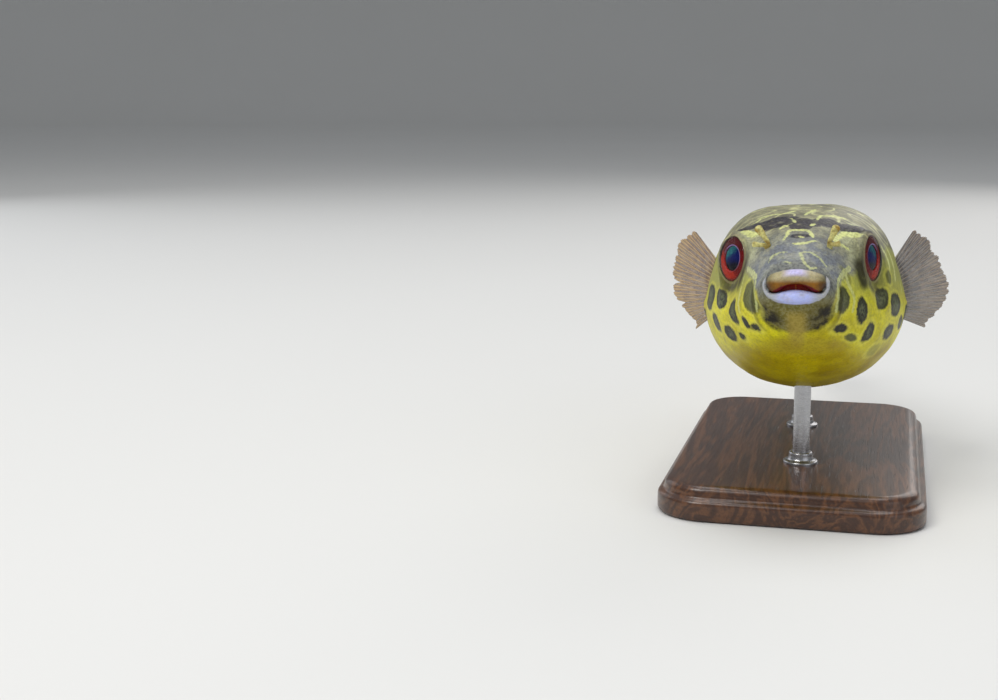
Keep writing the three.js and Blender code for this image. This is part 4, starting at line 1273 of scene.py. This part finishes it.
# ---------------------------------------------------------------- fins


# The two forks of a fin ray: its spread as a share of the gap between rays, and where that starts and ends.
FORKS = [(0.21, 0.42, 0.8), (0.09, 0.78, 1.0)]


def ray_pattern(k, r, rays):
    """How close each place is to a fin ray, 0 to 1. Each ray forks twice on its way to the edge."""
    local = (k * rays) % 1 - 0.5
    first, second = (spread * smooth(start, end, r) for spread, start, end in FORKS)
    ridge = np.zeros(np.broadcast(k, r).shape)
    for a in (-1, 1):
        for b in (-1, 1):
            ridge = np.maximum(ridge, hump(local - a * first - b * second, 0.075 + 0.03 * (1 - r)))
    return ridge, local


def fin_piece(name, place, rays, material, slot, thick=(0.75, 0.1), ridge_height=0.16, nicks=(), rows=84):
    """A thin closed fin over place(k, r): k runs across the rays and r from the root to the edge, 0 to 1."""
    columns = rays * 14 + 1
    k, r = np.meshgrid(np.linspace(0, 1, columns), np.linspace(0, 1, rows), indexing="ij")
    ridge, local = ray_pattern(k, r, rays)
    gap = np.abs(2 * local) ** 4
    web = 1 - 0.045 * gap - 0.02 * np.abs(np.sin(math.pi * rays * 4 * k))
    for at, width, depth in nicks:
        web = web - depth * hump(k - at, width)
    web = web * (1 + 0.012 * np.sin(37 * k + 1.3) + 0.01 * np.sin(91 * k))
    sheet = place(k, r, web)
    normal = unit(np.cross(np.gradient(sheet, axis=0), np.gradient(sheet, axis=1)))
    body = thick[1] + (thick[0] - thick[1]) * (1 - r) ** 2.2
    half = (body + ridge_height * ridge * (1.15 - 0.75 * r))[..., None] / 2
    half = half * np.sqrt(np.clip((1 - r) * 40, 0.06, 1))[..., None]
    rings = np.concatenate([sheet + normal * half, (sheet - normal * half)[:, ::-1]], axis=1)
    points, faces = closed_loft(rings, rings[0].mean(axis=0), rings[-1].mean(axis=0))

    def both(value):
        return np.concatenate([np.concatenate([value, value[:, ::-1]], axis=1).ravel(), [0, 0]])

    values = {"ray": both(ridge), "out": both(r), "across": both(k)}
    add_piece(name, points, outward(points, faces), material, slot, [name], values)


def pectoral_place(side):
    fin = PECTORALS[side]
    top, bottom = np.array(PECTORAL_TOP, float), np.array(PECTORAL_BOTTOM, float)

    def place(k, r, web):
        angle = np.radians(fin["top"] + (fin["bottom"] - fin["top"]) * k)
        back = PECTORAL_SWEEP + 0.12 * np.sin(5 * k)
        way = np.stack([np.cos(angle) * np.cos(back), np.sin(back), np.sin(angle) * np.cos(back)], axis=-1)
        swell = np.maximum(0, np.sin(math.pi * (k + fin["lead"]) / (1 + fin["lead"]))) ** fin["roundness"]
        reach = (fin["shortest"] + (fin["longest"] - fin["shortest"]) * swell) * web
        out = r * (reach + PECTORAL_DEPTH) - PECTORAL_DEPTH
        p = top + (bottom - top) * k[..., None] + way * out[..., None]
        ripple = 0.4 * r * r * np.sin(11 * k + 0.6) + 0.16 * r**2 * np.sin(31 * k + 2.0)
        p[..., 0] = side * (p[..., 0] + ripple) + swing(p[..., 1])
        return p

    return place


def median_place(fin, up):
    profile = "back" if up > 0 else "belly"

    def place(k, r, web):
        root_y = fin["front"] + (fin["back"] - fin["front"]) * k
        angle = fin["lean"] + fin["fan"] * k
        reach = fin["length"] * (0.62 + 0.46 * np.sin(math.pi * (0.2 + 0.6 * k))) * (1 - 0.3 * k**3) * web
        distance = r * (reach + 1.2) - 1.2
        y = root_y + distance * np.sin(angle)
        z = along(profile, root_y) + up * distance * np.cos(angle)
        x = swing(y) + 0.5 * r * r * np.sin(4 * k) + 0.12 * r**2 * np.sin(19 * k)
        return np.stack([x, y, z], axis=-1)

    return place


def caudal_place(k, r, web):
    across = 1 - 2 * k
    angle = np.radians(CAUDAL["fan"]) * across
    reach = (TAIL_FIN_LENGTH + 2) * (1 - 0.13 * across**4 - 0.05 * across**2) * web
    y = CAUDAL["root_y"] + r * reach * np.cos(angle)
    z = CAUDAL["root_z"] + CAUDAL["root_half"] * across + r * reach * np.sin(angle)
    return np.stack([swing(y) + 0.6 * r * np.sin(3.2 * across) + 0.2 * r * r * np.sin(17 * k), y, z], axis=-1)


def fin_material(name, web, web_low, ray, root, see_web, see_ray, stripes=(), blotch=None):
    """Fin skin: a thin web with pale ridged rays. see_web and see_ray say how solid each looks."""
    s = Shader(name)
    ridge, out, across = s.value("ray"), s.value("out"), s.value("across")
    medium, fine = s.noise(1.8, 3), s.noise(0.35, 3)
    joints = s.step(abs(s.math("FRACT", out * 26) - 0.5), 0.40, 0.5)
    skin = s.mix(s.step(medium, 0.35, 0.7, 0.0, 0.4), s.mix(across, web, web_low), ray)
    colour = s.mix(ridge * s.step(fine, 0.2, 0.6, 0.6, 0.95), skin, ray)
    colour = s.mix(joints * ridge * 0.3, colour, web)
    for place, half in stripes:
        band = abs(across - place) + medium * 0.07 - 0.035
        colour = s.mix(s.step(band, half, half * 0.4, 0.0, 0.85), colour, STRIPE_COLOUR)
    if blotch:
        dark, reach = blotch
        colour = s.mix(s.step(out + medium * 0.3 - 0.15, reach, reach * 0.5, 0.0, 0.8), colour, dark)
    colour = s.mix(s.step(out, 0.34, 0.1), colour, root)
    thick_root = s.step(out, 0.45, 0.12, 0.0, 1 - see_web)
    return s.principled(
        Base_Color=colour,
        Roughness=0.38,
        Alpha=s.math("ADD", s.step(ridge, 0.1, 0.9, see_web, see_ray), thick_root, clamp=True),
        Normal=s.bump(fine, 0.04, s.bump(joints, 0.03)),
        Subsurface_Weight=0.2,
        Subsurface_Radius=(1.0, 0.7, 0.5),
        Subsurface_Scale=0.0008,
        Coat_Weight=0.2,
        Coat_Roughness=0.2,
    )


# Each fin's colours: web at the first ray, web at the last, rays and root. Then how solid web and rays look.
FIN_SKINS = {
    "pectoral_left": (
        (0.20, 0.15, 0.18), (0.34, 0.31, 0.27), (0.70, 0.65, 0.59), (0.62, 0.60, 0.50), 0.6, 0.92,
    ),
    "pectoral_right": (
        (0.38, 0.23, 0.16), (0.50, 0.40, 0.28), (0.80, 0.69, 0.51), (0.66, 0.60, 0.36), 0.56, 0.9,
    ),
    "dorsal": ((0.55, 0.53, 0.46), (0.60, 0.57, 0.44), (0.78, 0.76, 0.64), (0.52, 0.50, 0.40), 0.55, 0.9),
    "anal": ((0.66, 0.48, 0.24), (0.62, 0.42, 0.20), (0.82, 0.66, 0.38), (0.62, 0.52, 0.20), 0.62, 0.92),
    "caudal": ((0.70, 0.54, 0.34), (0.66, 0.50, 0.20), (0.80, 0.63, 0.28), (0.78, 0.74, 0.16), 0.82, 0.97),
}
DORSAL_BLOTCH = ((0.16, 0.15, 0.13), 0.42)
STRIPE_COLOUR = (0.18, 0.14, 0.08)
# The tail fin's dark stripes: place across the rays and half width.
CAUDAL_STRIPES = [(0.2, 0.075), (0.42, 0.07), (0.62, 0.07), (0.82, 0.075)]
# Torn places in the pectoral fins' edges: place across the rays, width and depth.
NICKS = {
    1: [(0.3, 0.01, 0.05), (0.81, 0.02, 0.06)],
    -1: [(0.36, 0.01, 0.06), (0.48, 0.012, 0.15), (0.66, 0.02, 0.16)],
}


def build_fins():
    def skin(name, **marks):
        return fin_material(f"{name}_skin", *FIN_SKINS[name], **marks)

    pectorals = [(1, "left", skin("pectoral_left")), (-1, "right", skin("pectoral_right"))]
    for side, name, material in pectorals:
        place = pectoral_place(side)
        fin_piece(f"pectoral_fin_{name}", place, PECTORAL_RAYS, material, "fin", nicks=NICKS[side])
    dorsal, anal = skin("dorsal", blotch=DORSAL_BLOTCH), skin("anal")
    caudal = skin("caudal", stripes=CAUDAL_STRIPES)
    fin_piece("dorsal_fin", median_place(DORSAL, 1), DORSAL["rays"], dorsal, "fin", rows=72)
    fin_piece("anal_fin", median_place(ANAL, -1), ANAL["rays"], anal, "tail_fin", rows=72)
    fin_piece("caudal_fin", caudal_place, CAUDAL["rays"], caudal, "tail_fin", (1.1, 0.16), 0.3, rows=150)


# ---------------------------------------------------------------- stand


def wood_material():
    s = Shader("stand_walnut")
    wave = s.noise(9, 4, 0.6, warp=0.6, stretch=(1.0, 0.09, 1.0))
    rings = s.step(abs(s.math("FRACT", wave * 9.0) - 0.5), 0.05, 0.5)
    grain = s.noise(0.5, 4, 0.7, stretch=(1.0, 0.05, 1.0))
    pore = s.step(s.noise(0.28, 2, 0.6, stretch=(1.0, 0.035, 1.0)), 0.62, 0.72)
    colour = s.mix(rings, (0.25, 0.14, 0.08), (0.40, 0.25, 0.14))
    colour = s.mix(s.step(grain, 0.4, 0.7, 0.0, 0.5), colour, (0.17, 0.09, 0.05))
    colour = s.mix(pore * 0.7, colour, (0.08, 0.045, 0.03))
    normal = s.bump(grain, 0.03, s.bump(pore, -0.04))
    rough = grain * 0.2 + 0.28
    return s.principled(
        Base_Color=colour, Roughness=rough, Normal=normal, Coat_Weight=0.35, Coat_Roughness=0.15
    )


def steel_material():
    s = Shader("stand_brushed_steel")
    brush = s.noise(0.3, 3, 0.6, stretch=(0.25, 0.25, 6.0))
    cloud = s.noise(4, 2)
    shade = s.mix(s.step(brush, 0.3, 0.7, 0.0, 0.35), (0.72, 0.72, 0.73), (0.52, 0.52, 0.54))
    rough = brush * 0.2 + cloud * 0.12 + 0.12
    return s.principled(Base_Color=shade, Roughness=rough, Metallic=1.0, Normal=s.bump(brush, 0.012))


def rounded_rectangle(half_width, half_length, corner):
    """Points round a rectangle with round corners, about its middle."""
    outline = []
    for q, (x, y) in enumerate(((1, 1), (-1, 1), (-1, -1), (1, -1))):
        angle = np.linspace(0, math.pi / 2, 24) + q * math.pi / 2
        middle = (x * (half_width - corner), y * (half_length - corner))
        outline.append(middle + corner * np.stack([np.cos(angle), np.sin(angle)], axis=1))
    return np.vstack(outline)


# The base's edge from the floor up to the middle of its top: how far in, and how high.
BASE_EDGE = [
    (0.9, 0.0), (0.35, 0.12), (0.06, 0.45), (0.0, 0.9), (0.0, 2.9), (0.08, 3.3), (0.35, 3.62), (0.75, 3.8),
    (1.05, 4.0), (1.15, 4.35), (1.2, 4.8), (1.35, 5.3), (1.75, 5.72), (2.3, 5.93), (3.0, 6.0), (6.0, 6.0),
    (12.0, 6.0),
]
# The profile of the ferrule round each rod's foot: radius, and height over the base.
FERRULE = [
    (0, -0.4), (3.0, -0.4), (3.1, -0.1), (3.1, 0.35), (3.0, 0.52), (2.75, 0.6), (2.5, 0.66), (2.3, 0.85),
    (2.15, 1.3), (2.1, 1.9), (1.95, 2.08), (1.7, 2.15), (1.45, 2.15), (0, 2.1),
]


def build_stand():
    x, y, _ = centre_of("stand_base")
    rings = []
    for inset, height in curve_through(BASE_EDGE, 64):
        half_width, half_length = BASE["width"] / 2 - inset, BASE["length"] / 2 - inset
        outline = rounded_rectangle(half_width, half_length, max(0.5, BASE["corner"] - inset))
        rings.append(np.column_stack([outline + (x, y), np.full(len(outline), height)]))
    points, faces = closed_loft(np.array(rings), (x, y, 0), (x, y, BASE["thickness"]))
    faces = outward(points, faces)
    add_piece("stand_plinth", points, faces, wood_material(), "stand_wood", ["stand_base"], in_fish=False)
    steel = steel_material()
    for name in ("front", "rear"):
        low, high = (np.array(corner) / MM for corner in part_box(f"stand_rod_{name}"))
        x, y, _ = (low + high) / 2
        height = high[2] - low[2]
        shaft = [(0, 0), (1.2, 0), (1.42, 0.1), (ROD_RADIUS, 0.3)]
        shaft += [(ROD_RADIUS, h) for h in np.linspace(0.4, height - 0.4, 40)]
        shaft += [(1.42, height - 0.1), (1.2, height), (0, height)]
        turned_parts = [
            (f"stand_rod_{name}_shaft", shaft, low[2], [f"stand_rod_{name}"]),
            (f"stand_ferrule_{name}", curve_through(FERRULE, 90), BASE["thickness"], []),
        ]
        for piece_name, profile, foot, nodes in turned_parts:
            points, faces = lathe(profile)
            add_piece(piece_name, points + (x, y, foot), faces, steel, "stand_steel", nodes, in_fish=False)


# ---------------------------------------------------------------- floor, light and camera

# The paper floor runs flat to a far curve and up behind it.
FLOOR_REACH = 2600
FLOOR_CURVE = 700
FLOOR_RISE = 1500
FLOOR_GAP = 0.05

# Soft lamps: place in metres, edge in metres, watts, colour.
LAMPS = [
    ((-0.30, -0.50, 0.62), 0.36, 3.4, (1.0, 0.98, 0.95)),
    ((0.55, -0.45, 0.30), 0.55, 0.8, (0.93, 0.96, 1.0)),
    ((0.0, 0.10, 0.80), 0.50, 2.6, (1.0, 1.0, 1.0)),
    ((0.25, 0.65, 0.40), 0.50, 1.2, (1.0, 0.97, 0.94)),
    ((-0.60, 0.30, 0.30), 0.50, 0.7, (0.95, 0.97, 1.0)),
]
LAMP_TARGET = np.array([0.0, -0.02, 0.035])
WORLD_COLOUR = (0.86, 0.89, 0.93, 1)
WORLD_STRENGTH = 0.34


def build_stage():
    s = Shader("studio_paper")
    tone = s.mix(s.noise(400, 2), (0.86, 0.86, 0.85), (0.88, 0.88, 0.875))
    paper = s.principled(Base_Color=tone, Roughness=0.8, Normal=s.bump(s.noise(0.8, 3), 0.01))
    turns = np.linspace(0, math.pi / 2, 24)
    curve = [(FLOOR_REACH + FLOOR_CURVE * math.sin(t), FLOOR_CURVE * (1 - math.cos(t))) for t in turns]
    profile = [(60, 0), (200, 0), (700, 0), (1500, 0), *curve, (FLOOR_REACH + FLOOR_CURVE, FLOOR_RISE)]
    ways = [(math.cos(a), math.sin(a)) for a in np.arange(96) * 2 * math.pi / 96]
    rings = np.array([[(r * x, r * y, z - FLOOR_GAP) for x, y in ways] for r, z in profile])
    points = np.vstack([rings.reshape(-1, 3), [(0, 0, -FLOOR_GAP)]])
    faces = [grid_faces(len(rings), 96), fan_faces(len(points) - 1, 0, 96, False)]
    floor = mesh_piece("studio_floor", points, faces, paper, in_fish=False)


def look_along(place, ahead):
    """Stands a camera or lamp at place, in metres, with its own -Z along ahead and its X level."""
    right = unit(np.cross(ahead, [0, 0, 1]))
    turn = np.eye(4)
    turn[:3, 0], turn[:3, 1], turn[:3, 2] = right, np.cross(right, ahead), -ahead
    return Matrix.Translation(place) @ Matrix(turn)


def place_in_scene(data, matrix):
    holder = bpy.data.objects.new(data.name, data)
    holder.matrix_world = matrix
    bpy.context.scene.collection.objects.link(holder)
    return holder


def build_lights():
    for n, (place, size, watts, colour) in enumerate(LAMPS):
        lamp = bpy.data.lights.new(f"softbox_{n}", "AREA")
        lamp.size = size
        lamp.energy = watts
        lamp.color = colour
        place_in_scene(lamp, look_along(place, unit(LAMP_TARGET - np.array(place))))
    world = bpy.data.worlds.new("studio")
    world.use_nodes = True
    background = world.node_tree.nodes["Background"]
    background.inputs["Color"].default_value = WORLD_COLOUR
    background.inputs["Strength"].default_value = WORLD_STRENGTH
    bpy.context.scene.world = world


def build_camera():
    camera = bpy.data.cameras.new("camera")
    camera.sensor_fit = "HORIZONTAL"
    camera.sensor_width = SENSOR_MM
    camera.lens = CAMERA_FOCUS_PX / PICTURE_WIDTH_PX * SENSOR_MM
    camera.clip_start = 0.01
    flat = math.cos(CAMERA_PITCH)
    ahead = np.array([math.sin(CAMERA_TURN) * flat, math.cos(CAMERA_TURN) * flat, -math.sin(CAMERA_PITCH)])
    bpy.context.scene.camera = place_in_scene(camera, look_along(np.array(CAMERA_PLACE) * MM, ahead))


build_camera()
build_lights()
build_stage()
build_skin()
build_eyes()
build_teeth()
build_fins()
build_stand()
bpy.context.scene.view_settings.view_transform = "Standard"
